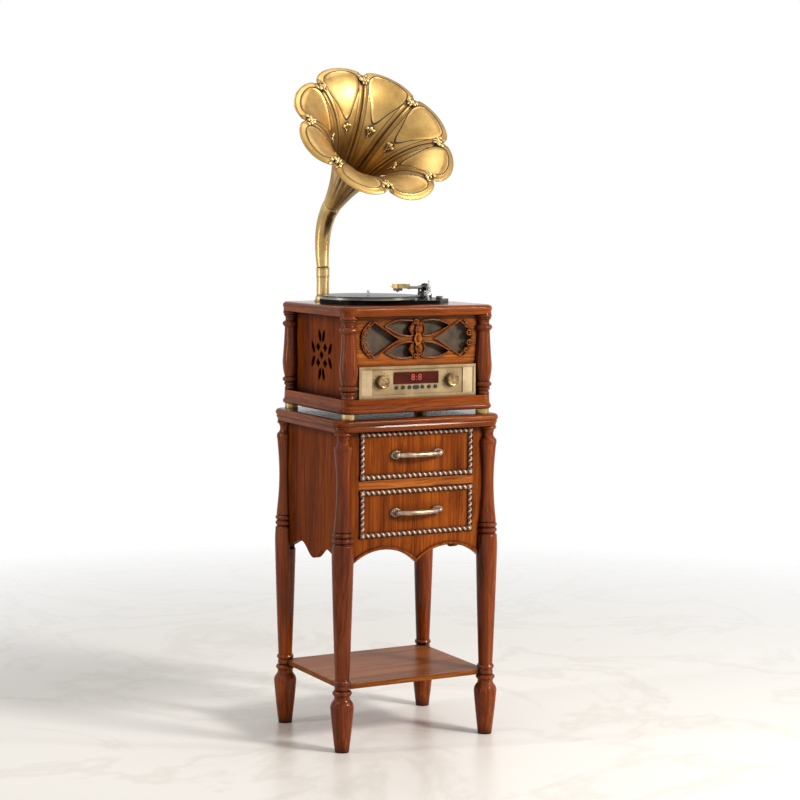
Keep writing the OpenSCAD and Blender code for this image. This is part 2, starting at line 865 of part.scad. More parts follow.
module deck_plate() {
    color(black)
    difference() {
        union() {
            difference() {
                translate([0, 0, deck_z0]) linear_extrude(height = deck_h)
                    polygon(rounded(deck_corners(0), deck_round, 6));
                translate([0, 0, deck_z0 - 1]) linear_extrude(height = deck_h - deck_wall + 1)
                    polygon(rounded(deck_corners(deck_wall), deck_round - deck_wall, 6));
            }
            translate([spindle_x, 0, deck_z1 - bearing_drop])
                cylinder(h = bearing_drop - deck_wall / 2, r = bearing_r);
        }
        translate([spindle_x, 0, deck_z1 - bearing_drop + 3])
            cylinder(h = bearing_drop, r = spindle_r + shaft_gap);
        translate([motor_x, motor_y, deck_z0]) cylinder(h = 2 * deck_h, r = pulley_r + 3);
        translate([pivot_x, pivot_y, deck_z0]) cylinder(h = 2 * deck_h, r = 10);
    }
}

module platter() {
    z = platter_z0;
    web = platter_z1 - 3;
    bore = spindle_r + shaft_gap;
    color(steel)
    translate([spindle_x, 0, 0]) rotate_extrude($fn = 128)
        polygon([[bore, deck_z1 + rest_gap], [12, deck_z1 + rest_gap], [12, web], [drive_r - 3, web],
            [drive_r - 3, z], [drive_r, z], [drive_r, web], [platter_r - 4, web], [platter_r - 4, z],
            [platter_r - 1, z], [platter_r, z + 1], [platter_r, platter_z1 - 1],
            [platter_r - 1, platter_z1], [bore, platter_z1]]);
}

module record() {
    color(black)
    translate([spindle_x, 0, 0]) rotate_extrude($fn = 128)
        polygon([[spindle_r + shaft_gap, platter_z1], [record_r, platter_z1],
            [record_r, record_z1 - 0.3], [record_r - 4, record_z1 - 0.5], [52, record_z1 - 0.5],
            [50, record_z1], [spindle_r + shaft_gap, record_z1]]);
}

module spindle() {
    top = record_z1 + 12;
    color(steel)
    translate([spindle_x, 0, 0]) rotate_extrude()
        polygon([[0, deck_z1 - bearing_drop + 3.5], [spindle_r, deck_z1 - bearing_drop + 3.5],
            [spindle_r, top - 2], [spindle_r - 2, top], [0, top]]);
}

module motor() {
    top = deck_z1 - deck_wall;
    color(steel)
    translate([motor_x, motor_y, 0]) difference() {
        translate([0, 0, top - 30]) cylinder(h = 30, r = motor_r);
        translate([0, 0, top - 12]) cylinder(h = 20, r = motor_shaft_r + shaft_gap);
    }
}

module motor_pulley() {
    top = deck_z1 - deck_wall;
    color(brass)
    translate([motor_x, motor_y, 0]) union() {
        translate([0, 0, top - 10]) cylinder(h = platter_z0 - top + 11, r = motor_shaft_r);
        translate([0, 0, platter_z0 - 0.6]) cylinder(h = 1, r = pulley_r + 1.2);
        translate([0, 0, platter_z0]) cylinder(h = 4, r = pulley_r);
    }
}

// Outline of an open belt round two wheels whose centres lie c apart on X
function belt_line(r1, r2, c) = let (a = acos((r1 - r2) / c))
    concat(arc(0, 0, r1, a, 360 - a, 40), arc(c, 0, r2, -a, a, 12));

module drive_belt() {
    inner = rest_gap;
    color(black)
    translate([spindle_x, 0, platter_z0 + 0.8]) rotate([0, 0, motor_turn])
        linear_extrude(height = 2.6) difference() {
            polygon(belt_line(drive_r + inner + belt_t, pulley_r + inner + belt_t, motor_reach));
            polygon(belt_line(drive_r + inner, pulley_r + inner, motor_reach));
        }
}

module tonearm_base() {
    top = arm_z - 12;
    color(black)
    translate([pivot_x, pivot_y, 0]) difference() {
        rotate_extrude() polygon([[0, deck_z1], [20, deck_z1], [20, deck_z1 + 3], [18.5, deck_z1 + 4],
            [14, deck_z1 + 4], [12.5, top - 1], [11.5, top], [0, top]]);
        translate([0, 0, deck_z1 + 1]) cylinder(h = 40, r = 4 + shaft_gap);
    }
    color(black)
    translate([cue_x, cue_y, deck_z1]) difference() {
        union() {
            translate([-cue_ear, -5, 0]) cube([2 * cue_ear, 10, 2]);
            for (s = [-1, 1])
                translate([s * (cue_ear - 1.25), 0, (cue_rise + 3) / 2]) cube([2.5, 8, cue_rise + 3], center = true);
        }
        translate([0, 0, cue_rise]) rotate([0, 90, 0])
            cylinder(h = 30, r = cue_pin_r + shaft_gap, center = true);
    }
}

// Puts a piece drawn along +X on the arm, held up as it is at rest
module on_arm() {
    translate([pivot_x, pivot_y, arm_z]) rotate([0, 0, arm_turn]) rotate([0, -lift_angle, 0]) children();
}

module tonearm_gimbal() {
    low = -12 + rest_gap;
    color(steel)
    translate([pivot_x, pivot_y, arm_z]) rotate([0, 0, arm_turn]) difference() {
        union() {
            translate([0, 0, deck_z1 - arm_z + 2]) cylinder(h = arm_z - deck_z1 - 12, r = 4);
            translate([0, 0, low]) cylinder(h = 3, r = yoke_half + yoke_t);
            for (s = [-1, 1])
                translate([0, s * (yoke_half + yoke_t / 2), 0]) union() {
                    rotate([90, 0, 0]) cylinder(h = yoke_t, r = 5, center = true);
                    translate([0, 0, low / 2]) cube([10, yoke_t, -low], center = true);
                }
        }
        rotate([90, 0, 0]) cylinder(h = 60, r = trunnion_r + shaft_gap, center = true);
    }
}

module tonearm_tube() {
    color(brass)
    on_arm() union() {
        rotate([0, 90, 0]) cylinder(h = tube_len, r = arm_r);
        translate([-stub_len, 0, 0]) rotate([0, 90, 0]) cylinder(h = stub_len, r = stub_r);
        rotate([90, 0, 0]) cylinder(h = 2 * (yoke_half - rest_gap), r = 5, center = true);
        rotate([90, 0, 0]) cylinder(h = 2 * (yoke_half + yoke_t), r = trunnion_r, center = true);
        translate([tube_len - 14, 0, 0]) rotate([0, 90, 0]) cylinder(h = 10, r = arm_r + 1);
    }
}

// Puts a piece drawn along +X on the end of the tube, turned to the groove
module on_shell() {
    on_arm() translate([tube_len, 0, 0]) rotate([0, 0, -shell_offset]) children();
}

module headshell() {
    color(brass)
    on_shell() difference() {
        union() {
            translate([0, 0, -3]) linear_extrude(height = 11) polygon([[1, -6], [8, -11],
                [shell_len + 8, -11], [shell_len + 11, -8], [shell_len + 11, 8],
                [shell_len + 8, 11], [8, 11], [1, 6]]);
            translate([shell_len - 4, -22, 0.5]) cube([5, 14, 1.5]);
        }
        translate([0, 0, 0]) rotate([0, 0, shell_offset]) rotate([0, 90, 0])
            cylinder(h = 12, r = arm_r + 0.1, center = true);
    }
}

module cartridge() {
    drop = arm_z - record_z1 - rest_gap;
    color(black)
    on_shell() union() {
        translate([shell_len - 10, -7, -8.5]) cube([18, 14, 5.5]);
        translate([shell_len - 4, -2.5, -10.5]) cube([8, 5, 2.2]);
        translate([shell_len, 0, -drop]) cylinder(h = drop - 10, r1 = 0.4, r2 = 1.2);
    }
}

module counterweight() {
    color(black)
    on_arm() translate([-stub_len + 2, 0, 0]) rotate([0, 90, 0]) difference() {
        rotate_extrude() polygon([[0, 0], [9.5, 0], [11, 1.5], [11, 6], [10, 7], [11, 8], [11, 20],
            [9, 22], [0, 22]]);
        translate([0, 0, -1]) cylinder(h = 30, r = stub_r + shaft_gap);
    }
}

module arm_rest() {
    floor_z = arm_z - arm_r - rest_gap;
    color(steel)
    translate([rest_x, rest_y, 0]) rotate([0, 0, arm_turn + park_swing]) union() {
        translate([0, 0, deck_z1]) cylinder(h = floor_z - deck_z1 - 3, r = 3);
        translate([0, 0, deck_z1]) cylinder(h = 3, r = 6);
        translate([-3, -8, floor_z - 3]) cube([6, 16, 3]);
        translate([-3, arm_r + rest_gap + 0.4, floor_z - 1]) cube([6, 3, 13]);
    }
}

module cue_lever() {
    color(steel)
    translate([cue_x, cue_y, deck_z1 + cue_rise]) union() {
        rotate([0, 90, 0]) cylinder(h = 2 * (cue_ear - 2.5 - rest_gap), r = 3, center = true);
        rotate([0, 90, 0]) cylinder(h = 2 * cue_ear, r = cue_pin_r, center = true);
        cylinder(h = cue_len, r = cue_pin_r);
        translate([0, 0, cue_len]) sphere(2.6);
    }
}

module speed_knob() {
    color(steel)
    translate([speed_x, speed_y, deck_z1 + rest_gap]) union() {
        rotate_extrude() polygon([[0, 0], [8, 0], [8, 2], [6.5, 6], [5.5, 7], [0, 7]]);
        translate([0, -1, 4]) cube([11, 2, 2.5]);
    }
}

// Horn

module horn_socket() {
    inner = pipe_r + shaft_gap;
    color(brass)
    translate([horn_x, horn_y, deck_z0]) rotate_extrude()
        polygon([[pipe_r - pipe_wall, 0], [pipe_r + 5.5, 0], [pipe_r + 5.5, 2.5], [pipe_r + 4, 4],
            [pipe_r + 3, 4], [pipe_r + 2.5, 11], [pipe_r + 1.5, 12], [inner, 12], [inner, 2],
            [pipe_r - pipe_wall, 2]]);
}

module horn_pipe() {
    bore = pipe_r - pipe_wall;
    collar = 23;
    z1 = deck_z0 + pipe_h;
    color(brass)
    translate([horn_x, horn_y, 0]) rotate_extrude()
        polygon(concat([[bore, deck_z0 + 2 + rest_gap], [pipe_r, deck_z0 + 2 + rest_gap],
            [pipe_r, z1 - collar]],
            arc(pipe_r, z1 - collar + 1.5, 1.5, -90, 90, 5),
            [[pipe_r + 0.8, z1 - collar + 3], [pipe_r + 0.8, z1 - 3]],
            arc(pipe_r, z1 - 1.5, 1.5, -90, 90, 5), [[bore, z1]]));
}

// Puts a piece drawn in the horn's plane, ahead towards -Y, on top of the pipe's collar
module on_pipe() {
    translate([horn_x, horn_y, deck_z0 + pipe_h]) rotate([0, 0, horn_turn]) children();
}

// Rings of points joined into one closed skin; each ring has the same number of points
module skin(rings) {
    k = len(rings);
    n = len(rings[0]);
    polyhedron(
        points = [for (ring = rings) each ring],
        faces = [for (j = [0:k - 1], i = [0:n - 1]) let (a = j * n + i, b = j * n + (i + 1) % n,
            c = ((j + 1) % k) * n + (i + 1) % n, d = ((j + 1) % k) * n + i)
            each [[a, b, c], [a, c, d]]]);
}

neck_line = curve([0, 0], neck_back, neck_turn, joint_at, neck_rings);
function neck_tilt(j) = j == 0 ? 90 : j == neck_rings ? bell_tilt
    : let (v = neck_line[j + 1] - neck_line[j - 1]) atan2(v[1], v[0]);
function neck_radius(t) = neck_r0 + (neck_r1 - neck_r0) * pow(t, 0.75);
function neck_ring(j, r) = let (p = neck_line[j], a = neck_tilt(j))
    [for (i = [0:neck_sides - 1]) let (w = 360 * i / neck_sides)
        [r * cos(w), -p[0] + r * sin(w) * sin(a), p[1] + r * sin(w) * cos(a)]];

module horn_neck() {
    color(brass)
    on_pipe() skin(concat(
        [for (j = [0:neck_rings]) neck_ring(j, neck_radius(j / neck_rings))],
        [for (j = [neck_rings:-1:0]) neck_ring(j, neck_radius(j / neck_rings) - sheet_t)]));
}

// The bell's outline as [distance behind the mouth, radius]; past t = 1 it runs out as a petal
bell_line_a = [bell_len, neck_r1];
function bell_at(t) = t <= 1
    ? bell_line_a * pow(1 - t, 3) + bell_throat * 3 * t * pow(1 - t, 2)
        + bell_knee * 3 * pow(t, 2) * (1 - t) + [0, notch_r] * pow(t, 3)
    : let (d = (t - 1) * (petal_r - notch_r)) [petal_curl * d * (d / 30), notch_r + d];
function petal_reach(w) = sqrt(max(0, 1 - pow(2 * w, 2)));
function bell_ring(j, side) = [for (i = [0:petals * petal_steps - 1])
    let (w = (i % petal_steps) / petal_steps - 0.5, u = j / bell_rings,
        reach = petal_reach(w), t = u * (1 + reach * pow(u, 3)),
        p = bell_at(t), q = bell_at(t + 0.01), d = (q - p) / norm(q - p),
        lobe = 1 + lobe_depth * pow(u, 2) * (1 - u) * 4 * reach,
        s = p + side * [-d[1], d[0]], a = petal_phase + 360 * (i / petal_steps - 0.5) / petals)
    [s[1] * lobe * cos(a), s[1] * lobe * sin(a), -s[0]]];

module horn_bell() {
    color(brass)
    on_pipe() translate([0, -mouth_at[0], mouth_at[1]]) rotate([90 - bell_tilt, 0, 0])
        skin(concat(
            [for (j = [0:bell_rings]) bell_ring(j, 0)],
            [for (j = [bell_rings:-1:0]) bell_ring(j, sheet_t)]));
}

stand_legs();
stand_top();
stand_side_panels();
stand_back_panel();
front_stiles();
middle_rail();
front_apron();
drawer_runners();
lower_shelf();
drawer_box(upper_z0);  // upper_drawer_box
drawer_front(upper_z0);  // upper_drawer_front
drawer_moulding(upper_z0);  // upper_drawer_moulding
drawer_handle(upper_z0);  // upper_drawer_handle
drawer_box(lower_z0);  // lower_drawer_box
drawer_front(lower_z0);  // lower_drawer_front
drawer_moulding(lower_z0);  // lower_drawer_moulding
drawer_handle(lower_z0);  // lower_drawer_handle
case_feet();
case_base();
case_columns();
case_side_panels();
case_front_panel();
grille_cloths();
case_back_panel();
case_top();
speakers();
tuner_chassis();
faceplate();
end_plates();
display_window();
volume_knob();
tuning_knob();
button(1);  // button_1
button(2);  // button_2
button(3);  // button_3
button(4);  // button_4
button(5);  // button_5
button(6);  // button_6
button(7);  // button_7
rear_sockets();
deck_plate();
platter();
record();
spindle();
motor();
motor_pulley();
drive_belt();
tonearm_base();
tonearm_gimbal();
tonearm_tube();
headshell();
cartridge();
counterweight();
arm_rest();
cue_lever();
speed_knob();
horn_socket();
horn_pipe();
horn_neck();
horn_bell();
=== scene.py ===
import bpy
import math
from mathutils import Matrix, Vector


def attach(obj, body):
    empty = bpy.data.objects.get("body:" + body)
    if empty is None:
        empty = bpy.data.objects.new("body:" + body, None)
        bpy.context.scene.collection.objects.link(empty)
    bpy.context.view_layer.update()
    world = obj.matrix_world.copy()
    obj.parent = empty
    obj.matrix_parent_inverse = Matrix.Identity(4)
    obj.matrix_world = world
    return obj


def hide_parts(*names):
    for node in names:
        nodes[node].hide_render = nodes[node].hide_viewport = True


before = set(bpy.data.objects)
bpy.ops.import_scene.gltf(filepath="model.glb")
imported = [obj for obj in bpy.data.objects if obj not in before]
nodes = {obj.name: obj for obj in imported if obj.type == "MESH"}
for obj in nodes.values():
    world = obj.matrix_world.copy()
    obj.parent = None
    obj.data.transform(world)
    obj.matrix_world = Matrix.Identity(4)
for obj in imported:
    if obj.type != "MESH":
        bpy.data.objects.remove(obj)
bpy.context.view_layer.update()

# Places and sizes of the CAD source, in millimetres
MM = 0.001
DRAWER_FACE_Y = -159.0
DRAWER_H = 114.0
DRAWER_HALF = 152.5
UPPER_Z0 = 643.5
LOWER_Z0 = 505.5
BASE_TOP = 836.0
COLUMN_TOP = 1030.0
FRET_Y = -159.4
FRET_Z = COLUMN_TOP - 55.5
PANEL_Y = -160.5
SEAM_X = 122.3
SEAM_Z0 = BASE_TOP + 6.5
SEAM_Z1 = BASE_TOP + 68.5
PLATE_INNER_X = 150.6
KNOB_Z = BASE_TOP + 39.0
VOLUME_X = -97.0
TUNING_X = 90.0
DISPLAY_X = -4.0
DISPLAY_Z = BASE_TOP + 46.5
SPINDLE = (-50.0, 0.0)
COLLAR_TOP = (-105.0, 138.0, 1135.0)
HORN_TURN = 2.5


# Materials

def srgb(r, g, b):
    """Linear colour from 0..255 sRGB values."""
    out = []
    for v in (r, g, b):
        v /= 255.0
        out.append(v / 12.92 if v <= 0.04045 else ((v + 0.055) / 1.055) ** 2.4)
    return (*out, 1.0)


def darker(color, share):
    return tuple(share * v for v in color[:3]) + (1.0,)


class Nodes:
    """A short way to write a node tree."""

    def __init__(self, tree):
        self.tree = tree
        self.tree.nodes.clear()

    def put(self, socket, value):
        if isinstance(value, bpy.types.NodeSocket):
            self.tree.links.new(value, socket)
        else:
            socket.default_value = value

    def node(self, kind, sockets=None, **props):
        n = self.tree.nodes.new("ShaderNode" + kind)
        for key, value in props.items():
            setattr(n, key, value)
        for key, value in (sockets or {}).items():
            self.put(n.inputs[key], value)
        return n

    def math(self, op, a, b=0.0, c=0.0, clamp=False):
        n = self.node("Math", operation=op, use_clamp=clamp)
        for k, v in enumerate((a, b, c)):
            if k < len(n.inputs):
                self.put(n.inputs[k], v)
        return n.outputs[0]

    def blend(self, a, a_share, b, b_share):
        return self.math("ADD", self.math("MULTIPLY", a, a_share), self.math("MULTIPLY", b, b_share))

    def ramp(self, fac, *stops):
        """Each stop is a place with a colour, or with a number for a grey."""
        n = self.node("ValToRGB", {"Fac": fac})
        els = n.color_ramp.elements
        while len(els) < len(stops):
            els.new(0.5)
        for el, (pos, col) in zip(els, stops):
            el.position = pos
            el.color = col if not isinstance(col, (int, float)) else (col, col, col, 1.0)
        return n.outputs[0]


class Graph(Nodes):
    """A material with one principled shader."""

    INPUTS = {"color": "Base Color", "rough": "Roughness", "metal": "Metallic", "normal": "Normal",
              "coat": "Coat Weight", "coat_rough": "Coat Roughness", "coat_normal": "Coat Normal",
              "spec": "Specular IOR Level", "tint": "Specular Tint", "sheen": "Sheen Weight",
              "glow": "Emission Color", "glow_power": "Emission Strength"}

    def __init__(self, name):
        self.mat = bpy.data.materials.new(name)
        self.mat.use_nodes = True
        super().__init__(self.mat.node_tree)
        self.bsdf = self.node("BsdfPrincipled")
        self.out = self.node("OutputMaterial", {0: self.bsdf.outputs[0]})
        self.coords = self.node("TexCoord").outputs["Object"]

    def stretch(self, scale, vector=None, move=(0, 0, 0)):
        sockets = {"Vector": vector or self.coords, "Scale": scale, "Location": move}
        return self.node("Mapping", sockets).outputs[0]

    def noise(self, vector, scale=1.0, detail=2.0, rough=0.5, distort=0.0):
        sockets = {"Vector": vector, "Scale": scale, "Detail": detail, "Roughness": rough,
                   "Distortion": distort}
        return self.node("TexNoise", sockets).outputs["Fac"]

    def wave(self, scale, direction, distort=0.0):
        sockets = {"Vector": self.stretch((1, 1, 1)), "Scale": scale, "Distortion": distort}
        return self.node("TexWave", sockets, bands_direction=direction).outputs["Fac"]

    def vector(self, op, a, b=None):
        sockets = {0: a} if b is None else {0: a, 1: b}
        return self.node("VectorMath", sockets, operation=op).outputs

    def mix(self, fac, a, b, mode="MIX"):
        n = self.node("Mix", data_type="RGBA", blend_type=mode)
        self.put(n.inputs[0], fac)
        self.put(n.inputs[6], a)
        self.put(n.inputs[7], b)
        return n.outputs[2]

    def bump(self, height, strength, distance, normal=None):
        sockets = {"Height": height, "Strength": strength, "Distance": distance}
        if normal is not None:
            sockets["Normal"] = normal
        return self.node("Bump", sockets).outputs[0]

    def bevel(self, radius):
        return self.node("Bevel", {"Radius": radius}, samples=4).outputs[0]

    def attribute(self, name):
        return self.node("Attribute", attribute_name=name).outputs["Fac"]

    def cavity(self, distance):
        """Near 0 in corners and creases, 1 on open faces."""
        return self.node("AmbientOcclusion", {"Distance": distance}, samples=4).outputs["AO"]

    def set(self, **values):
        for key, value in values.items():
            self.put(self.bsdf.inputs[self.INPUTS[key]], value)
        return self.mat


def mitred_coords(g):
    """Coordinates turned by a quarter on faces that look left or right, so that grain follows each edge."""
    side = g.node("SeparateXYZ", {0: g.node("NewGeometry").outputs["True Normal"]})
    x, y, z = (g.math("ABSOLUTE", side.outputs[k]) for k in range(3))
    ends = g.math("GREATER_THAN", x, g.math("MAXIMUM", y, z))
    axes = g.node("SeparateXYZ", {0: g.coords}).outputs
    turned = g.node("CombineXYZ", {0: axes[1], 1: axes[0], 2: axes[2]}).outputs[0]
    return g.mix(ends, g.coords, turned)


def wood(name, axis, tones, move=(0, 0, 0), gloss=0.26, coat=0.5, lines=0.55, mitred=False, spec=0.14):
    """Lacquered open-grained wood whose grain runs along one axis, or round a mitred slab's four edges, with
    painted shade in its corners and creases.
    """
    g = Graph(name)
    dark, mid, light = (srgb(*tone) for tone in tones)
    if mitred:
        g.coords = mitred_coords(g)

    def along(across, length):
        return tuple(length if k == axis else across for k in range(3))

    bend = g.noise(g.stretch(along(5.0, 2.2), move=move), 1.0, 2.0)
    sway = g.math("MULTIPLY", g.math("SUBTRACT", bend, 0.5), 0.05)
    shift = g.node("CombineXYZ", {k: sway for k in range(3) if k != axis}).outputs[0]
    where = g.vector("ADD", g.coords, shift)[0]
    broad = g.noise(g.stretch(along(16.0, 1.3), where, move), 1.0, 3.0, 0.55)
    bands = g.noise(g.stretch(along(150.0, 3.4), where, move), 1.0, 5.0, 0.66)
    pores = g.noise(g.stretch(along(560.0, 12.0), where, move), 1.0, 2.0, 0.6)
    tone = g.blend(broad, 0.4, bands, 0.6)
    base = g.ramp(tone, (0.36, dark), (0.5, mid), (0.66, light))
    line = g.ramp(pores, (0.54, 0.0), (0.68, 1.0))
    stripe = g.ramp(bands, (0.33, 1.0), (0.39, 0.0))
    ink = g.math("MAXIMUM", g.math("MULTIPLY", line, lines), g.math("MULTIPLY", stripe, 0.4))
    shade = g.mix(ink, base, darker(dark, 0.3))
    # painted shade: two ambient occlusion ramps, one wide and one fine, darken the colour in corners, creases
    # and hollows
    painted_hollow_shade = g.ramp(g.cavity(0.026), (0.34, 0.06), (0.96, 1.0))
    painted_crease_shade = g.ramp(g.cavity(0.007), (0.4, 0.14), (0.85, 1.0))
    edge = g.bevel(0.0012)
    grain = g.math("ADD", g.math("MULTIPLY", line, -1.0), tone)
    return g.set(color=g.mix(1.0, g.mix(1.0, shade, painted_hollow_shade, "MULTIPLY"), painted_crease_shade, "MULTIPLY"),
                 rough=g.math("ADD", gloss, g.math("MULTIPLY", bands, 0.06)),
                 coat=coat, coat_rough=0.05, coat_normal=edge, spec=spec, tint=(1.0, 0.6, 0.3, 1.0),
                 normal=g.bump(grain, 0.25, 0.0003, edge))


def carved():
    """Small carving: wood with painted shade left in the hollows."""
    g = Graph("carved")
    grain = g.noise(g.stretch((240.0, 240.0, 240.0)), 1.0, 4.0, 0.6)
    base = g.ramp(grain, (0.35, srgb(92, 38, 9)), (0.6, srgb(150, 74, 22)))
    # painted shade: an ambient occlusion ramp darkens the colour in the carving's hollows
    painted_hollow_shade = g.ramp(g.cavity(0.006), (0.3, 0.08), (0.85, 1.0))
    return g.set(color=g.mix(1.0, base, painted_hollow_shade, "MULTIPLY"), rough=0.24, coat=0.1, coat_rough=0.08,
                 normal=g.bump(grain, 0.2, 0.0004), spec=0.4, tint=(1.0, 0.68, 0.4, 1.0))


def rope():
    """Rope moulding: painted shade, near black, in the hollows and along the edges, brown flanks, and painted
    cream highlights on the crests.
    """
    g = Graph("rope")
    uneven = g.noise(g.stretch((130.0, 130.0, 130.0)), 1.0, 3.0, 0.6)
    # painted light and shade: the attribute is lightest on each strand's crest and on the side that looks
    # forward; the ramp turns its high end into cream highlights and its low end into near-black shade
    painted_light = g.math("ADD", g.attribute("painted_light"), g.math("MULTIPLY", g.math("SUBTRACT", uneven, 0.5), 0.35))
    color = g.ramp(painted_light, (0.2, srgb(30, 12, 4)), (0.5, srgb(96, 44, 16)), (0.78, srgb(128, 66, 28)),
                   (0.96, srgb(232, 206, 164)))
    return g.set(color=color, rough=0.32, coat=0.4, coat_rough=0.12, spec=0.5,
                 normal=g.bump(uneven, 0.15, 0.0004))


# Millimetres that a ramp covers on the bell: across a drawn line, and for the painted shade round a boss, a
# clip or a seam
LINE_SPAN = 8.0
SPOT_SPAN = 20.0


def out_of_throat(g):
    """0 in the bell's throat and 1 beyond it."""
    return g.ramp(g.attribute("radius"), (0.12, 0.0), (0.24, 1.0))


def petal_lines(g):
    """Ink of the lines drawn on the bell, with painted shade round the cast bosses and clips; the sheet's
    attributes hold each line's distance in millimetres.
    """
    seam = g.attribute("seam")
    grow = out_of_throat(g)
    panel = g.ramp(g.attribute("radius"), (0.38, 0.0), (0.44, 1.0))

    def drawn(distance, half, soft, power, fade):
        line = g.ramp(g.math("DIVIDE", distance, LINE_SPAN), (half / LINE_SPAN, power),
                      ((half + soft) / LINE_SPAN, 0.0))
        return g.math("MULTIPLY", line, fade)

    def beside(distance, place):
        return g.math("ABSOLUTE", g.math("SUBTRACT", distance, place))

    # painted shade: the inner sheet darkens round each cast boss and clip
    def painted_trim_shade(name, edge):
        around = g.ramp(g.math("DIVIDE", g.attribute(name), SPOT_SPAN), (0.5, 0.7), (edge, 0.0))
        return g.math("MULTIPLY", around, g.attribute("inner"))

    lines = drawn(seam, 1.0, 1.3, 1.0, grow)
    for other in (drawn(beside(g.attribute("inside"), -1.0), 0.7, 1.1, 1.0, panel),
                  drawn(beside(seam, 11.5), 0.4, 1.2, 0.8, grow),
                  painted_trim_shade("boss", 0.64),
                  painted_trim_shade("clip", 0.8),
                  drawn(g.attribute("rim"), 0.2, 1.2, 0.5, panel)):
        lines = g.math("MAXIMUM", lines, other)
    return lines


def painted_bell_shade(g):
    """Painted shade: darker brass beside the seams and down the inside of the bell's throat."""
    seam = g.ramp(g.math("DIVIDE", g.attribute("seam"), SPOT_SPAN), (0.1, 0.35), (0.8, 0.0))
    throat = g.ramp(g.attribute("radius"), (0.1, 0.6), (0.45, 0.0))
    return g.math("MAXIMUM", g.math("MULTIPLY", seam, out_of_throat(g)),
                  g.math("MULTIPLY", throat, g.attribute("inner")))


def metal(name, tones, rough, patina, brush=(420.0, 420.0, 420.0), blotch=18.0, share=1.0, horn=False):
    """Plated metal with patina in the creases and, where it is brushed, fine scratches along an axis.
    On the horn, drawn lines follow the petals' seams and outlines, and painted shade darkens the brass beside
    the seams, down the throat and round the cast trim."""
    g = Graph(name)
    light, mid, dark = (srgb(*tone) for tone in tones)
    cloud = g.noise(g.coords, blotch, 4.0, 0.6)
    fine = g.noise(g.stretch(brush), 1.0, 3.0, 0.6)
    base = g.ramp(g.blend(cloud, 0.75, fine, 0.25), (0.34, mid), (0.62, light))
    ink = g.math("MULTIPLY", g.ramp(g.cavity(0.008), (0.35, 1.0), (0.85, 0.0)), 0.8 * patina)
    if horn:
        # on the horn this ink also holds the painted shade round the cast bosses and clips
        ink = g.math("MAXIMUM", ink, petal_lines(g), clamp=True)
        # painted shade beside the seams and down the throat, mixed towards dark brown
        base = g.mix(painted_bell_shade(g), base, srgb(108, 72, 28))
    bare = g.math("SUBTRACT", 1.0, g.math("MULTIPLY", ink, 0.8))
    return g.set(color=g.mix(ink, base, dark),
                 rough=g.math("ADD", rough, g.math("MULTIPLY", g.math("ADD", cloud, ink), 0.14)),
                 metal=g.math("MULTIPLY", bare, share),
                 normal=g.bump(fine, 0.05 if horn else 0.12, 0.0002, g.bevel(0.0006)))


def plain(name, tone, rough, grain=300.0, depth=0.12, **more):
    """A moulded or painted surface with a slight texture."""
    g = Graph(name)
    color = srgb(*tone)
    speck = g.noise(g.coords, grain, 3.0, 0.6)
    return g.set(color=g.ramp(speck, (0.3, darker(color, 0.78)), (0.65, color)),
                 rough=g.math("ADD", rough, g.math("MULTIPLY", speck, 0.06)),
                 normal=g.bump(speck, depth, 0.0002, g.bevel(0.0005)), **more)


def cloth():
    """Woven speaker cloth."""
    g = Graph("cloth")
    weave = g.math("MULTIPLY", g.wave(330.0, "Z", 0.4), g.wave(330.0, "X", 0.4))
    tone = g.blend(g.noise(g.coords, 26.0, 3.0, 0.6), 0.7, weave, 0.3)
    return g.set(color=g.ramp(tone, (0.25, srgb(42, 34, 26)), (0.7, srgb(120, 102, 82))), rough=0.8,
                 sheen=0.3, normal=g.bump(weave, 0.5, 0.0006), spec=0.3)


def vinyl():
    """Grooved vinyl: rings by distance from the spindle."""
    g = Graph("vinyl")
    off = g.vector("ADD", g.coords, (-SPINDLE[0] * MM, -SPINDLE[1] * MM, 0))[0]
    flat = g.vector("MULTIPLY", off, (1, 1, 0))[0]
    r = g.vector("LENGTH", flat)["Value"]
    rings = g.math("SINE", g.math("MULTIPLY", r, 5200.0))
    bands = g.noise(g.node("CombineXYZ", {0: g.math("MULTIPLY", r, 260.0)}).outputs[0], 1.0, 2.0)
    tone = g.math("ADD", g.math("MULTIPLY", rings, 0.2), bands)
    return g.set(color=g.ramp(tone, (0.3, srgb(14, 14, 15)), (0.9, srgb(34, 33, 33))),
                 rough=g.math("ADD", 0.2, g.math("MULTIPLY", bands, 0.16)), coat=0.05, coat_rough=0.1,
                 normal=g.bump(rings, 0.18, 0.0002), spec=0.2)


def display():
    """Dark red display glass with a faint pixel grid."""
    g = Graph("display")
    tone = g.math("ADD", g.math("MULTIPLY", g.wave(260.0, "X"), 0.2), g.noise(g.coords, 30.0, 2.0))
    return g.set(color=g.ramp(tone, (0.3, srgb(48, 12, 7)), (0.9, srgb(92, 34, 20))), rough=0.14, coat=0.05,
                 coat_rough=0.03, spec=0.08)


def digits():
    """Lit red figures."""
    g = Graph("digits")
    red = g.ramp(g.noise(g.coords, 500.0, 2.0), (0.3, srgb(166, 56, 38)), (0.7, srgb(192, 84, 62)))
    return g.set(color=red, glow=red, glow_power=0.2, rough=0.4)


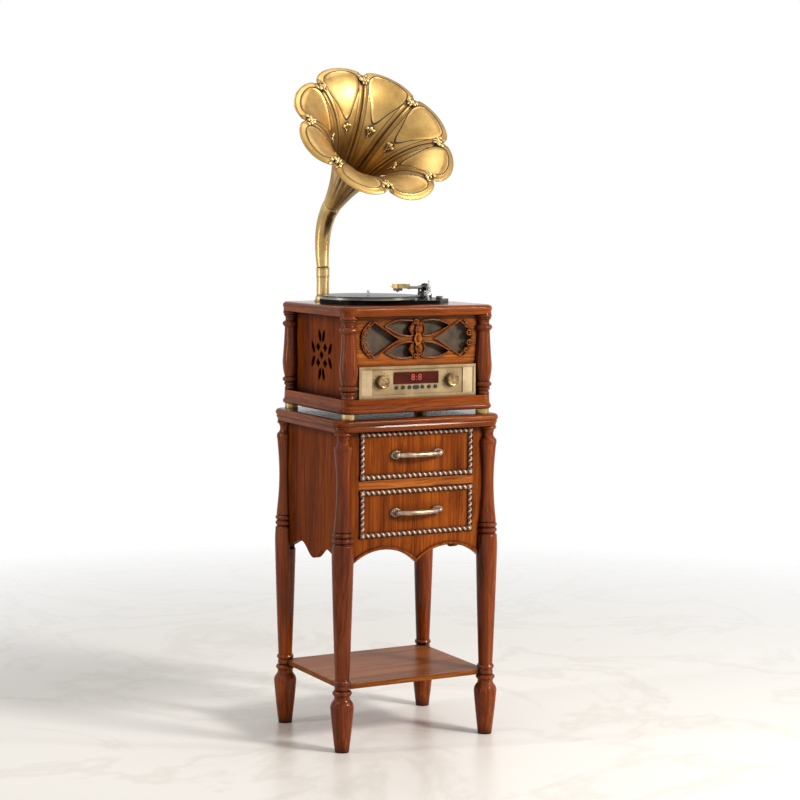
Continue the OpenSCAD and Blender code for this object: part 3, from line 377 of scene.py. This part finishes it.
# Tones are sRGB values: dark, middle and light for a wood; light, middle and patina for a metal.
# A wood's axis is the one that its grain follows, and move shifts its pattern.
WOODS = {
    "wood_up": dict(axis=2, tones=((84, 34, 7), (138, 64, 14), (182, 96, 30)), coat=0.06),
    "wood_turned": dict(axis=2, tones=((74, 28, 5), (124, 52, 9), (166, 82, 22)), move=(3, 1, 2),
                        gloss=0.1, coat=0.34, lines=0.4, spec=0.03),
    "wood_side": dict(axis=2, tones=((78, 32, 7), (126, 56, 12), (160, 80, 24)), move=(7, 5, 1),
                      gloss=0.34, coat=0.0, lines=0.6, spec=0.02),
    # painted light: these tones are lighter than the other woods' to lift the case's front panel out of the
    # shade under the case top; the middle rail shares them
    "wood_across_lit": dict(axis=0, tones=((110, 52, 16), (172, 92, 34), (212, 126, 56)), move=(2, 8, 5),
                        gloss=0.24, coat=0.12, lines=0.5),
    "wood_slab": dict(axis=0, tones=((74, 30, 6), (128, 57, 12), (164, 82, 24)), move=(2, 8, 5),
                      gloss=0.12, coat=0.2, lines=0.4, mitred=True, spec=0.03),
    "wood_shelf": dict(axis=0, tones=((96, 50, 20), (144, 82, 36), (172, 106, 54)), move=(5, 3, 9),
                       coat=0.0, lines=0.4, spec=0.03),
    "wood_pale": dict(axis=1, tones=((178, 142, 98), (206, 172, 126), (224, 194, 150)), move=(1, 1, 1),
                      gloss=0.5, coat=0.0, lines=0.3),
}
METALS = {
    "brass": dict(tones=((198, 170, 118), (164, 132, 80), (38, 22, 6)), rough=0.22, patina=1.0),
    "horn_brass": dict(tones=((192, 158, 98), (158, 121, 64), (30, 17, 5)), rough=0.33, patina=1.0,
                       horn=True),
    "old_brass": dict(tones=((220, 190, 132), (164, 130, 76), (26, 15, 5)), rough=0.28, patina=1.3,
                      blotch=120.0),
    "bronze": dict(tones=((192, 170, 148), (108, 86, 68), (24, 15, 9)), rough=0.24, patina=1.4, blotch=70.0),
    "champagne": dict(tones=((172, 147, 109), (136, 110, 75), (48, 34, 16)), rough=0.3, patina=0.9,
                      brush=(14.0, 900.0, 900.0), share=0.7),
    "cream": dict(tones=((200, 177, 140), (168, 144, 106), (60, 44, 24)), rough=0.32, patina=0.7,
                  brush=(900.0, 900.0, 14.0), share=0.5),
    "knob": dict(tones=((176, 148, 102), (92, 70, 44), (18, 12, 6)), rough=0.24, patina=1.8, blotch=110.0),
    "steel": dict(tones=((214, 212, 208), (176, 174, 170), (30, 30, 30)), rough=0.18, patina=0.8,
                  blotch=50.0),
    "dark_steel": dict(tones=((78, 72, 64), (46, 41, 36), (10, 9, 8)), rough=0.2, patina=1.0, blotch=60.0),
    "aluminium": dict(tones=((150, 145, 136), (116, 110, 100), (24, 22, 20)), rough=0.26, patina=1.0),
    "gold": dict(tones=((168, 146, 100), (118, 97, 60), (30, 21, 10)), rough=0.26, patina=1.2, blotch=70.0),
}
PLAINS = {
    "black": dict(tone=(26, 25, 24), rough=0.3),
    "gloss_black": dict(tone=(15, 14, 13), rough=0.2, grain=160.0, depth=0.03, spec=0.02),
    "dark_gap": dict(tone=(20, 15, 12), rough=0.8),
    "chassis": dict(tone=(80, 82, 86), rough=0.45),
    "rubber": dict(tone=(24, 24, 25), rough=0.7),
}
MAT = {name: wood(name, **look) for name, look in WOODS.items()}
MAT.update({name: metal(name, **look) for name, look in METALS.items()})
MAT.update({name: plain(name, **look) for name, look in PLAINS.items()})
MAT.update({"carved": carved(), "rope": rope(), "cloth": cloth(), "vinyl": vinyl(), "display": display(),
            "digits": digits()})

FINISH = {
    "wood_turned": ["stand_legs", "case_columns"],
    "wood_side": ["stand_side_panels", "case_side_panels", "stand_back_panel", "case_back_panel"],
    "wood_up": ["front_apron", "upper_drawer_front", "lower_drawer_front", "front_stiles"],
    "wood_slab": ["stand_top", "case_base", "case_top"],
    "wood_across_lit": ["middle_rail", "case_front_panel"],
    "wood_shelf": ["lower_shelf"],
    "wood_pale": ["drawer_runners", "upper_drawer_box", "lower_drawer_box"],
    "rope": ["upper_drawer_moulding", "lower_drawer_moulding"],
    "bronze": ["upper_drawer_handle", "lower_drawer_handle"],
    "brass": ["case_feet", "motor_pulley", "horn_socket", "horn_pipe", "horn_neck", "horn_bell"],
    "champagne": ["faceplate"],
    "knob": ["volume_knob", "tuning_knob"],
    "cream": ["end_plates"],
    "display": ["display_window"],
    "cloth": ["grille_cloths"],
    "black": ["speakers", "rear_sockets", "tonearm_base", "cartridge",
              *("button_%d" % k for k in range(1, 8))],
    "gloss_black": ["deck_plate"],
    "chassis": ["tuner_chassis"],
    "aluminium": ["platter"],
    "gold": ["headshell"],
    "steel": ["spindle", "motor", "arm_rest", "cue_lever"],
    "dark_steel": ["tonearm_gimbal", "counterweight", "tonearm_tube", "speed_knob"],
    "vinyl": ["record"],
    "rubber": ["drive_belt"],
}
for finish, names in FINISH.items():
    for n in names:
        nodes[n].data.materials.clear()
        nodes[n].data.materials.append(MAT[finish])


# Mesh pieces

def link(data, name):
    o = bpy.data.objects.new(name, data)
    bpy.context.scene.collection.objects.link(o)
    return o


def add_mesh(name, verts, faces, mat, body, smooth=True, attrs=None):
    """A mesh piece from millimetre points, riding on a body."""
    me = bpy.data.meshes.new(name)
    me.from_pydata([tuple(c * MM for c in v) for v in verts], [], faces)
    me.update()
    for key, values in (attrs or {}).items():
        layer = me.attributes.new(key, "FLOAT", "POINT")
        layer.data.foreach_set("value", values)
    if smooth:
        me.polygons.foreach_set("use_smooth", [True] * len(me.polygons))
    me.materials.append(MAT[mat])
    o = link(me, name)
    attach(o, body)
    return o


def ring_faces(n, rings, looped=False):
    """Quads between neighbouring rings of n points; looped joins the last ring to the first."""
    return [(j * n + i, j * n + (i + 1) % n, (j + 1) % rings * n + (i + 1) % n, (j + 1) % rings * n + i)
            for j in range(rings if looped else rings - 1) for i in range(n)]


def end_faces(n, rings):
    return [tuple(range(n))[::-1], tuple((rings - 1) * n + i for i in range(n))]


class Parts:
    """Collects primitive shapes into one mesh."""

    BALL_SIDES = 16
    BALL_RINGS = 10

    def __init__(self):
        self.verts = []
        self.faces = []

    def add(self, verts, faces):
        k = len(self.verts)
        self.verts += [tuple(v) for v in verts]
        self.faces += [tuple(k + i for i in f) for f in faces]

    def lathe(self, rows, at, n):
        """Rows of (height, radius) turned about an axis that runs forward, along -Y, from at."""
        verts = []
        for h, r in rows:
            for i in range(n):
                a = 2 * math.pi * i / n
                verts.append((at[0] + r * math.cos(a), at[1] - h, at[2] + r * math.sin(a)))
        self.add(verts, ring_faces(n, len(rows)) + end_faces(n, len(rows)))

    def ball(self, at, radii, matrix=None):
        n = self.BALL_SIDES
        m = self.BALL_RINGS
        verts = []
        for j in range(m + 1):
            b = math.pi * j / m - math.pi / 2
            for i in range(n):
                a = 2 * math.pi * i / n
                v = Vector((radii[0] * math.cos(b) * math.cos(a), radii[1] * math.cos(b) * math.sin(a),
                            radii[2] * math.sin(b)))
                if matrix is not None:
                    v = matrix @ v
                verts.append(tuple(v + Vector(at)))
        self.add(verts, ring_faces(n, m + 1))

    def tube(self, path, radius, n=8, closed=False):
        """A tube along points; radius is a number or a function of the share of the way."""
        pts = [Vector(p) for p in path]
        k = len(pts)
        verts = []
        for j, p in enumerate(pts):
            if closed:
                d = (pts[(j + 1) % k] - pts[j - 1]).normalized()
            else:
                d = (pts[min(j + 1, k - 1)] - pts[max(j - 1, 0)]).normalized()
            if j == 0:
                side = d.orthogonal().normalized()
            side = (side - d * side.dot(d)).normalized()
            up = d.cross(side)
            r = radius(j / (k - 1)) if callable(radius) else radius
            for i in range(n):
                a = 2 * math.pi * i / n
                verts.append(tuple(p + side * (r * math.cos(a)) + up * (r * math.sin(a))))
        self.add(verts, ring_faces(n, k, closed) + ([] if closed else end_faces(n, k)))

    def box(self, lo, hi):
        verts = [(x, y, z) for x in (lo[0], hi[0]) for y in (lo[1], hi[1]) for z in (lo[2], hi[2])]
        self.add(verts, [(0, 1, 3, 2), (4, 6, 7, 5), (0, 4, 5, 1), (2, 3, 7, 6), (0, 2, 6, 4), (1, 5, 7, 3)])

    def make(self, name, mat, body, smooth=True, attrs=None):
        return add_mesh(name, self.verts, self.faces, mat, body, smooth, attrs)


def bezier(a, b, c, d, t):
    s = 1 - t
    return [s ** 3 * p + 3 * s * s * t * q + 3 * s * t * t * r + t ** 3 * w for p, q, r, w in zip(a, b, c, d)]


def curve(a, b, c, d, n):
    """The n + 1 points of a cubic curve."""
    return [bezier(a, b, c, d, i / n) for i in range(n + 1)]


def smooth_min(a, b, k):
    h = max(k - abs(a - b), 0.0) / k
    return min(a, b) - h * h * k * 0.25


def step(a, b, x):
    """A smooth step from 0 at a to 1 at b."""
    t = min(max((x - a) / (b - a), 0.0), 1.0)
    return t * t * (3 - 2 * t)


def hump(x, middle, width):
    """A smooth hump of height 1."""
    return math.exp(-((x - middle) / width) ** 2)


# The horn, as in the CAD source: joint and mouth are (forward, up) from the collar's top, in millimetres
MOUTH = (255.0, 325.0)
JOINT = (48.0, 155.0)
BELL_LEN = math.dist(MOUTH, JOINT)
TILT = math.atan2(MOUTH[1] - JOINT[1], MOUTH[0] - JOINT[0])
BELL_TURN = Matrix.Rotation(math.radians(90) - TILT, 3, "X")
BELL_THROAT = (120, 44)
BELL_KNEE = (20, 88)
NECK_R0 = 14.5
NECK_R1 = 22.5
NECK_BACK = (-10, 60)
NECK_TURN = (-4, 115)
SHEET_T = 1.8
PETALS = 8
NOTCH_R = 173.0
PETAL_R = 205.0
PETAL_PHASE = 13.0
PETAL_CURL = 0.16
LOBE_DEPTH = 0.045

# The bell's relief, in millimetres: raised lines as (height, distance of the middle, width), heights, and
# radii from the bell's axis. The radius attribute is a share of RADIUS_SPAN.
RIB = (2.0, 5.5, 2.4)
SEAM_GROOVE = (1.2, 0.0, 1.4)
ROLL = (1.2, 2.0, 2.2)
PANEL_H = 1.3
STEM_H = 0.8
PANEL_R = 90.0
BOSS_R = 80.0
CLIP_R = 164.0
RADIUS_SPAN = 200.0


def to_world(right, back, up):
    """From the horn's own frame, on top of the collar, to the row's frame."""
    a = math.radians(HORN_TURN)
    return (COLLAR_TOP[0] + right * math.cos(a) - back * math.sin(a),
            COLLAR_TOP[1] + right * math.sin(a) + back * math.cos(a), COLLAR_TOP[2] + up)


def bell_world(x, y, z):
    """From the bell's frame, whose axis is z with the mouth at 0, to the row's frame."""
    v = BELL_TURN @ Vector((x, y, z))
    return to_world(v.x, v.y - MOUTH[0], v.z + MOUTH[1])


def on_bell(turn, depth, radius):
    """A point at turn petals round the bell's axis."""
    a = math.radians(PETAL_PHASE + 360 * turn / PETALS)
    return bell_world(radius * math.cos(a), radius * math.sin(a), -depth)


def bell_at(t):
    """The bell's outline as [distance behind the mouth, radius]; past t = 1 it runs out as a petal."""
    if t <= 1:
        return bezier((BELL_LEN, NECK_R1), BELL_THROAT, BELL_KNEE, (0, NOTCH_R), t)
    d = (t - 1) * (PETAL_R - NOTCH_R)
    return [PETAL_CURL * d * (d / 30), NOTCH_R + d]


def raised(shape, distance):
    height, middle, width = shape
    return height * hump(distance, middle, width)


def relief(across, radius, seam, inside, rim):
    """How far the sheet stands out: the ribs beside a seam, the pressed panel with the groove round it, the
    rolled edge, and the stem that runs up to the boss."""
    rib = (raised(RIB, seam) - raised(SEAM_GROOVE, seam)) * step(24, 60, radius)
    panel = PANEL_H * (step(-1.5, 2.5, inside) - hump(inside, -1.0, 1.6)) * step(78, 92, radius)
    stem = STEM_H * hump(across, 0.0, math.sqrt(5.0)) * step(40, 55, radius) * step(84, 76, radius)
    return rib + panel + raised(ROLL, rim) + stem


def bell_point(w, u, inner):
    """Depth and radius of a point of the bell's sheet, and its distances from the drawn lines; w is -0.5..0.5
    across a petal and u 0..1 from throat to edge."""
    reach = math.sqrt(max(0.0, 1 - (2 * w) ** 2))
    t = u * (1 + reach * u ** 3)
    p = bell_at(t)
    q = bell_at(t + 0.01)
    n = math.dist(p, q)
    lobe = 1 + LOBE_DEPTH * u * u * (1 - u) * 4 * reach
    depth, radius = p
    petal_w = 2 * math.pi * radius / PETALS
    petal_h = PETAL_R - NOTCH_R
    seam = (0.5 - abs(w)) * petal_w
    rim = (1 + reach - t) * petal_h if t > 1 else (reach * petal_h + NOTCH_R - radius) * 1.05
    margin = 13 + 15 * step(150, PANEL_R, radius)
    inside = smooth_min(smooth_min(rim - 19, seam - margin, 26), 0.9 * (radius - PANEL_R), 14)
    boss = math.hypot(w * petal_w, 1.4 * (radius - BOSS_R))
    clip = math.hypot(seam, radius - CLIP_R)
    off = (SHEET_T if inner else 0.0) - relief(w * petal_w, radius, seam, inside, rim)
    return (depth - off * (q[1] - p[1]) / n, (radius + off * (q[0] - p[0]) / n) * lobe,
            (seam, inside, rim, radius / RADIUS_SPAN, boss, clip))


def build_bell():
    """The petalled bell: the same sheet as the CAD one, finer, with its seams, ribs and pressed panels."""
    across = 36
    rings = 92
    ws = [(k, -0.5 * math.cos(math.pi * i / across)) for k in range(PETALS) for i in range(across)]
    us = [1 - (1 - j / rings) ** 1.25 for j in range(rings + 1)]
    verts = []
    attrs = {"seam": [], "inside": [], "rim": [], "radius": [], "boss": [], "clip": [], "inner": []}
    for inner in (False, True):
        for u in (us[::-1] if inner else us):
            for k, w in ws:
                depth, radius, far = bell_point(w, u, inner)
                verts.append(on_bell(k + w, depth, radius))
                for key, value in zip(attrs, (*far, 1.0 if inner else 0.0)):
                    attrs[key].append(value)
    faces = ring_faces(len(ws), 2 * (rings + 1), True)
    o = add_mesh("horn_bell_sheet", verts, faces, "horn_brass", "horn", attrs=attrs)
    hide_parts("horn_bell")


def build_neck():
    """The curved neck, finer than the CAD one, with two raised rings where it meets the bell."""
    rings = 64
    n = 56
    line = curve((0, 0), NECK_BACK, NECK_TURN, JOINT, rings)

    def direction(j):
        if j == 0:
            return math.radians(90)
        if j == rings:
            return TILT
        return math.atan2(line[j + 1][1] - line[j - 1][1], line[j + 1][0] - line[j - 1][0])

    def ring(j, inner):
        t = j / rings
        a = direction(j)
        r = NECK_R0 + (NECK_R1 - NECK_R0) * t ** 0.75
        r += -SHEET_T if inner else 1.0 * hump(t, 0.93, 0.014) + 0.7 * hump(t, 0.89, 0.012)
        turns = [2 * math.pi * i / n for i in range(n)]
        return [to_world(r * math.cos(w), -line[j][0] + r * math.sin(w) * math.sin(a),
                         line[j][1] + r * math.sin(w) * math.cos(a)) for w in turns]

    verts = [p for j in range(rings + 1) for p in ring(j, False)]
    verts += [p for j in range(rings, -1, -1) for p in ring(j, True)]
    o = add_mesh("horn_neck_sheet", verts, ring_faces(n, 2 * (rings + 1), True), "brass", "horn")
    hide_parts("horn_neck")


# Beads of the cast trim: place (side, up, out) and radii, in millimetres; the paired ones stand on both sides
BOSS_HEAD = [((0, 2, 2.1), (5.2, 6.6, 3.4))]
BOSS_PAIRS = [((8.0, 0.5, 1.9), (5.4, 5.2, 3.0)), ((3.6, -5.5, 1.1), (2.8, 4.0, 2.2))]
BOSS_TAIL = [((0, -11, 1.2), (3.0, 3.6, 2.4)), ((0, -18, 0.6), (2.2, 5.0, 1.8))]
CLIP_PAIRS = [((7.6, -4.6, 1.2), (6.4, 5.2, 4.0)), ((12.0, 3.0, 0.4), (4.4, 5.4, 3.0)),
              ((3.4, -12.0, 0.8), (2.8, 6.0, 2.8))]
CLIP_HEAD = [((0, -5.0, 2.2), (3.4, 6.0, 3.0)), ((0, 1.0, -0.9), (4.6, 4.2, 4.6))]


def bell_frame(w, u, k):
    """Point on the inner sheet of petal k, with directions out of it, round it and up it."""
    def at(u2):
        depth, radius, _ = bell_point(w, u2, True)
        return Vector(on_bell(k + w, depth, radius))

    p = at(u)
    up = (at(min(u + 0.01, 1.0)) - at(u - 0.01)).normalized()
    centre = Vector(bell_world(0, 0, -bell_point(w, u, True)[0]))
    inward = (centre - p).normalized()
    out = (inward - up * inward.dot(up)).normalized()
    return p, out, up.cross(out).normalized(), up


def share_at_radius(radius):
    """The u at which the middle of a petal's inner sheet has this radius."""
    lo = 0.3
    hi = 0.98
    for _ in range(30):
        mid = (lo + hi) / 2
        if bell_point(0.0, mid, True)[1] < radius:
            lo = mid
        else:
            hi = mid
    return lo


def beads(parts, place, rows, sides=(1,)):
    p, out, side, up = place
    turn = Matrix((side, up, out)).transposed()
    for s in sides:
        for (x, y, z), radii in rows:
            parts.ball(p + side * x * s + up * y + out * z, radii, turn)


def horn_trim():
    """A cast boss at the foot of each petal's panel, and a clip over each notch."""
    bosses = Parts()
    clips = Parts()
    boss_u = share_at_radius(BOSS_R + 2)
    for k in range(PETALS):
        place = bell_frame(0.0, boss_u, k)
        beads(bosses, place, BOSS_HEAD)
        beads(bosses, place, BOSS_PAIRS, (-1, 1))
        beads(bosses, place, BOSS_TAIL)
        place = bell_frame(-0.5, 0.985, k)
        beads(clips, place, CLIP_PAIRS, (-1, 1))
        beads(clips, place, CLIP_HEAD)
    bosses.make("horn_bosses", "old_brass", "horn")
    clips.make("horn_clips", "old_brass", "horn")


# Rope moulding

ROPE_R = 6.4
STRAND_STEPS = 12
ROPE_SIDES = 14


def rope_run(parts, painted_light, start, end, count):
    """A half-round rope of count strands from start to end, both (x, z), on the drawer's face."""
    steps = count * STRAND_STEPS
    n = ROPE_SIDES
    length = math.dist(start, end)
    dx = (end[0] - start[0]) / length
    dz = (end[1] - start[1]) / length
    verts = []
    for j in range(steps + 1):
        far = length * j / steps
        for i in range(n + 1):
            a = math.pi * i / n
            phase = (j / STRAND_STEPS + 0.75 * (i / n - 0.5)) % 1.0
            swell = math.sin(math.pi * phase)
            r = ROPE_R * (0.62 + 0.38 * math.sqrt(swell))
            across = -math.cos(a) * r
            verts.append((start[0] + dx * far - dz * across, DRAWER_FACE_Y - math.sin(a) * r,
                          start[1] + dz * far + dx * across))
            # painted light and shade: lightest where a strand swells and where the rope faces forward, darker
            # in the hollows and towards the edges
            painted_light.append(swell ** 1.5 * (0.45 + 0.55 * math.sin(a)))
    w = n + 1
    parts.add(verts, [(j * w + i, j * w + i + 1, (j + 1) * w + i + 1, (j + 1) * w + i)
                      for j in range(steps) for i in range(n)])


def rope_frame(name, z0, body, node):
    """Rope along the four edges of a drawer's front."""
    parts = Parts()
    painted_light = []
    x = DRAWER_HALF
    z1 = z0 + DRAWER_H
    rope_run(parts, painted_light, (-x, z0 + ROPE_R), (x, z0 + ROPE_R), 22)
    rope_run(parts, painted_light, (x, z1 - ROPE_R), (-x, z1 - ROPE_R), 22)
    rope_run(parts, painted_light, (x - ROPE_R, z0), (x - ROPE_R, z1), 8)
    rope_run(parts, painted_light, (-x + ROPE_R, z1), (-x + ROPE_R, z0), 8)
    o = parts.make(name, "rope", body, attrs={"painted_light": painted_light})
    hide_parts(node)


# Radio

def display_digits():
    """Generic figures on the display's glass."""
    cu = bpy.data.curves.new("display_digits", "FONT")
    cu.body = "8:8"
    cu.size = 21 * MM
    cu.align_x = "CENTER"
    cu.align_y = "CENTER"
    cu.extrude = 0.15 * MM
    cu.space_character = 1.15
    cu.materials.append(MAT["digits"])
    o = link(cu, "display_digits")
    o.location = (DISPLAY_X * MM, (PANEL_Y - 2.2) * MM, (DISPLAY_Z + 0.5) * MM)
    o.rotation_euler = (math.radians(90), 0, 0)
    bpy.context.view_layer.update()
    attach(o, "cabinet")


def knob_ticks():
    """Eleven dots round each knob."""
    dots = Parts()
    dot = [(0, 1.1), (0.35, 1.0), (0.4, 0.0)]
    for x, r in ((VOLUME_X, 21.5), (TUNING_X, 22.0)):
        for i in range(11):
            a = math.radians(-120 + 24 * i)
            dots.lathe(dot, (x + r * math.sin(a), PANEL_Y, KNOB_Z + r * math.cos(a)), 10)
    dots.make("knob_ticks", "black", "cabinet")


def plate_seams():
    """Fine engraved joints between the faceplate's middle and its end panels, and a bright inner edge."""
    seams = Parts()
    for x in (-SEAM_X, SEAM_X):
        seams.box((x - 0.35, PANEL_Y - 0.25, SEAM_Z0), (x + 0.35, PANEL_Y + 0.2, SEAM_Z1))
    seams.make("plate_seams", "dark_gap", "cabinet", smooth=False)
    edge = Parts()
    y = PANEL_Y - 2.9
    z0 = SEAM_Z0 - 0.1
    z1 = SEAM_Z1 + 0.1
    corners = [(-PLATE_INNER_X, z0), (PLATE_INNER_X, z0), (PLATE_INNER_X, z1), (-PLATE_INNER_X, z1)]
    edge.tube([(x, y, z) for x, z in corners], 0.7, 6, closed=True)
    edge.make("plate_edge", "champagne", "cabinet", smooth=False)


# Carving of the fretwork; places are (x, z) from its middle, in millimetres

def pushed_out(pts, by):
    """A closed outline pushed out from its middle."""
    mx = (min(p[0] for p in pts) + max(p[0] for p in pts)) / 2
    mz = (min(p[1] for p in pts) + max(p[1] for p in pts)) / 2
    out = []
    for x, z in pts:
        d = math.hypot(x - mx, z - mz)
        out.append((mx + (x - mx) * (1 + by / d), mz + (z - mz) * (1 + by / d)))
    return out


def fret_lines():
    """Two raised lines round each opening: a fan at each end and four leaves."""
    lines = Parts()
    fan = curve((46, 0), (62, 3), (88, 24), (115, 40), 10)
    fan += curve((119, 36), (128, 26), (142, 30), (146, 0), 8)
    fan += [(x, -z) for x, z in fan[-2:0:-1]]
    leaf = curve((85, 31), (60, 44), (34, 46), (13, 41), 10)
    leaf += curve((17, 33), (24, 27), (24, 20), (15, 9), 6)
    leaf += curve((22, 8), (44, 9), (66, 20), (83, 29), 9)
    for sx in (-1, 1):
        for by in (1.0, 3.4):
            for sz, outline in ((1, fan), (-1, leaf), (1, leaf)):
                pts = [(sx * x, FRET_Y, FRET_Z + sz * z) for x, z in pushed_out(outline, by)]
                lines.tube(pts, 0.9, closed=True)
    lines.make("fret_lines", "carved", "cabinet")


def tendril(parts, pts, proud, thick, taper):
    """A tube along (x, z) points that thins towards its end."""
    path = [(x, FRET_Y - proud, FRET_Z + z) for x, z in pts]
    parts.tube(path, lambda t: thick - taper * t)


def scroll(parts, x, z, radius, turns, start, way, thick):
    """A spiral that narrows and rises towards its middle."""
    pts = []
    n = int(18 * turns)
    for i in range(n + 1):
        t = i / n
        a = math.radians(start) + way * 2 * math.pi * turns * t
        r = radius * (1 - 0.86 * t)
        pts.append((x + r * math.cos(a), FRET_Y - 0.8 - 1.6 * t, FRET_Z + z + r * math.sin(a)))
    parts.tube(pts, lambda t: thick * (1 - 0.45 * t))


def fret_scrolls():
    """Carved scrolls and tendrils at the middle and at the ends."""
    scrolls = Parts()
    stem = curve((0, 15), (9, 22), (-8, 30), (1, 42), 14)
    shoot = curve((-3, 14), (-11, 22), (3, 31), (-4, 44), 14)
    spray = curve((148, 4), (150, 18), (141, 30), (124, 43), 12)
    for sz in (-1, 1):
        tendril(scrolls, [(x, sz * z) for x, z in stem], 1.6, 3.0, 1.2)
        tendril(scrolls, [(x, sz * z) for x, z in shoot], 1.0, 2.2, 0.9)
        scroll(scrolls, -5.5, sz * 40, 6.5, 1.4, 0, sz, 2.2)
        scroll(scrolls, 6.0, sz * 33, 5.5, 1.3, 180, -sz, 1.9)
        scroll(scrolls, 0.0, sz * 23, 4.5, 1.2, 90, sz, 1.8)
        for sx in (-1, 1):
            scroll(scrolls, sx * 140, sz * 13, 8.5, 1.4, 90 - 90 * sx, -sx * sz, 2.4)
            scroll(scrolls, sx * 131, sz * 29, 6.5, 1.3, 90 - 90 * sx, sx * sz, 2.0)
            tendril(scrolls, [(sx * x, sz * z) for x, z in spray], 0.6, 2.2, 1.0)
    scrolls.ball((0, FRET_Y - 3.1, FRET_Z), (4.2, 3.2, 6.4))
    scrolls.make("fret_scrolls", "carved", "cabinet")


# Drawer handles

HANDLE_X = 56.0
LEAF_Y = DRAWER_FACE_Y - 3.2
COLLAR_Y = DRAWER_FACE_Y - 4.0


def handle_leaves(name, z0, body):
    """Veins and lobes of the cast leaves under a handle's ends, and the collars on its bar."""
    parts = Parts()
    z = z0 + DRAWER_H / 2
    for s in (-1, 1):
        cx = s * HANDLE_X
        parts.tube([(cx - 15, LEAF_Y, z), (cx, COLLAR_Y, z), (cx + 15, LEAF_Y, z)], 1.3)
        for k in range(-2, 3):
            reach = 8.6 - 1.5 * abs(k)
            for up in (-1, 1):
                parts.ball((cx + 5.4 * k, LEAF_Y, z + up * reach * 0.52), (2.3, 1.7, reach * 0.5))
        parts.lathe([(0, 6.4), (1.2, 7.0), (2.4, 6.2), (3.0, 5.0)], (cx, COLLAR_Y, z), 20)
    parts.make(name, "bronze", body)


build_bell()
build_neck()
horn_trim()
rope_frame("upper_rope", UPPER_Z0, "upper_drawer", "upper_drawer_moulding")
rope_frame("lower_rope", LOWER_Z0, "lower_drawer", "lower_drawer_moulding")
display_digits()
knob_ticks()
fret_lines()
fret_scrolls()
handle_leaves("upper_handle_leaves", UPPER_Z0, "upper_drawer")
handle_leaves("lower_handle_leaves", LOWER_Z0, "lower_drawer")
plate_seams()


# Floor, light, world and camera, in metres

FLOOR_HALF = 12.0
FLOOR_DROP = 0.0002
LIGHTS = {
    "key": dict(at=(2.2, -3.4, 2.8), target=(0, 0, 0.9), size=(0.8, 0.8), power=172, color=(1.0, 0.96, 0.9)),
    "left": dict(at=(-1.75, 0.25, 1.7), target=(0, 0, 1.7), size=(0.05, 2.0), power=13,
                 color=(1.0, 0.95, 0.88)),
    "right": dict(at=(1.75, -1.5, 1.7), target=(0, 0, 1.7), size=(0.05, 2.0), power=15,
                  color=(1.0, 0.96, 0.9)),
    "top": dict(at=(0.3, 0.0, 3.9), target=(0, 0, 0.8), size=(1.2, 1.2), power=20, color=(1.0, 0.98, 0.95)),
}
WORLD_TONES = ((0.3, 0.3), (0.48, 0.1), (0.6, 0.13), (0.95, 0.34))
SENSOR_MM = 36.0
PHOTO_PX = 800.0
FOCAL_PX = 2020.21
CAMERA_AT = (-2.29381, -4.34972, 1.27205)
CAMERA_TURN = (math.radians(90) - 0.092611, -0.0065, -0.49171)


def stage_floor():
    """A pale veined floor that fades out with distance."""
    g = Graph("floor")
    tile = g.noise(g.coords, 1.6, 6.0, 0.6, 0.6)
    pale = srgb(250, 248, 245)
    g.set(color=g.ramp(tile, (0.46, pale), (0.5, srgb(240, 237, 232)), (0.54, pale)), rough=0.32, spec=0.4)
    far = g.vector("LENGTH", g.coords)["Value"]
    fade = g.ramp(g.math("MULTIPLY", far, 0.25), (0.25, 0.0), (0.7, 1.0))
    clear = g.node("BsdfTransparent").outputs[0]
    g.put(g.out.inputs[0], g.node("MixShader", {0: fade, 1: g.bsdf.outputs[0], 2: clear}).outputs[0])
    me = bpy.data.meshes.new("floor")
    s = FLOOR_HALF
    me.from_pydata([(-s, -s, 0), (s, -s, 0), (s, s, 0), (-s, s, 0)], [], [(0, 1, 2, 3)])
    me.materials.append(g.mat)
    o = link(me, "floor")
    o.location = (0, 0, -FLOOR_DROP)


def area_light(name, at, target, size, power, color):
    li = bpy.data.lights.new(name, "AREA")
    li.shape = "RECTANGLE"
    li.size = size[0]
    li.size_y = size[1]
    li.energy = power
    li.color = color
    o = link(li, name)
    o.location = at
    o.rotation_euler = (Vector(target) - Vector(at)).to_track_quat("-Z", "Y").to_euler()
    o.visible_camera = False


def studio_world():
    """A dim room that lights the object; camera, glossy and transmission rays see plain white instead."""
    world = bpy.data.worlds.new("studio")
    bpy.context.scene.world = world
    world.use_nodes = True
    g = Nodes(world.node_tree)
    height = g.node("SeparateXYZ", {0: g.node("TexCoord").outputs["Generated"]}).outputs["Z"]
    room = g.ramp(g.math("MULTIPLY_ADD", height, 0.5, 0.5),
                  *((at, (tone, 0.95 * tone, 0.88 * tone, 1.0)) for at, tone in WORLD_TONES))
    light = g.node("Background", {"Color": room, "Strength": 1.0}).outputs[0]
    white = g.node("Background", {"Color": (1.0, 1.0, 1.0, 1.0), "Strength": 1.0}).outputs[0]
    path = g.node("LightPath").outputs
    gloss = g.math("MAXIMUM", path["Is Glossy Ray"], path["Is Transmission Ray"])
    seen = g.math("MAXIMUM", path["Is Camera Ray"], gloss)
    g.node("OutputWorld", {0: g.node("MixShader", {0: seen, 1: light, 2: white}).outputs[0]})


def photo_camera():
    """The camera that was fitted to the photograph."""
    data = bpy.data.cameras.new("camera")
    data.sensor_width = SENSOR_MM
    data.lens = SENSOR_MM * FOCAL_PX / PHOTO_PX
    data.clip_start = 0.05
    data.clip_end = 60.0
    camera = link(data, "camera")
    camera.location = CAMERA_AT
    camera.rotation_euler = CAMERA_TURN
    bpy.context.scene.camera = camera


stage_floor()
for name, light in LIGHTS.items():
    area_light(name, **light)
studio_world()
photo_camera()
bpy.context.scene.view_settings.view_transform = "Standard"

bpy.context.view_layer.update()
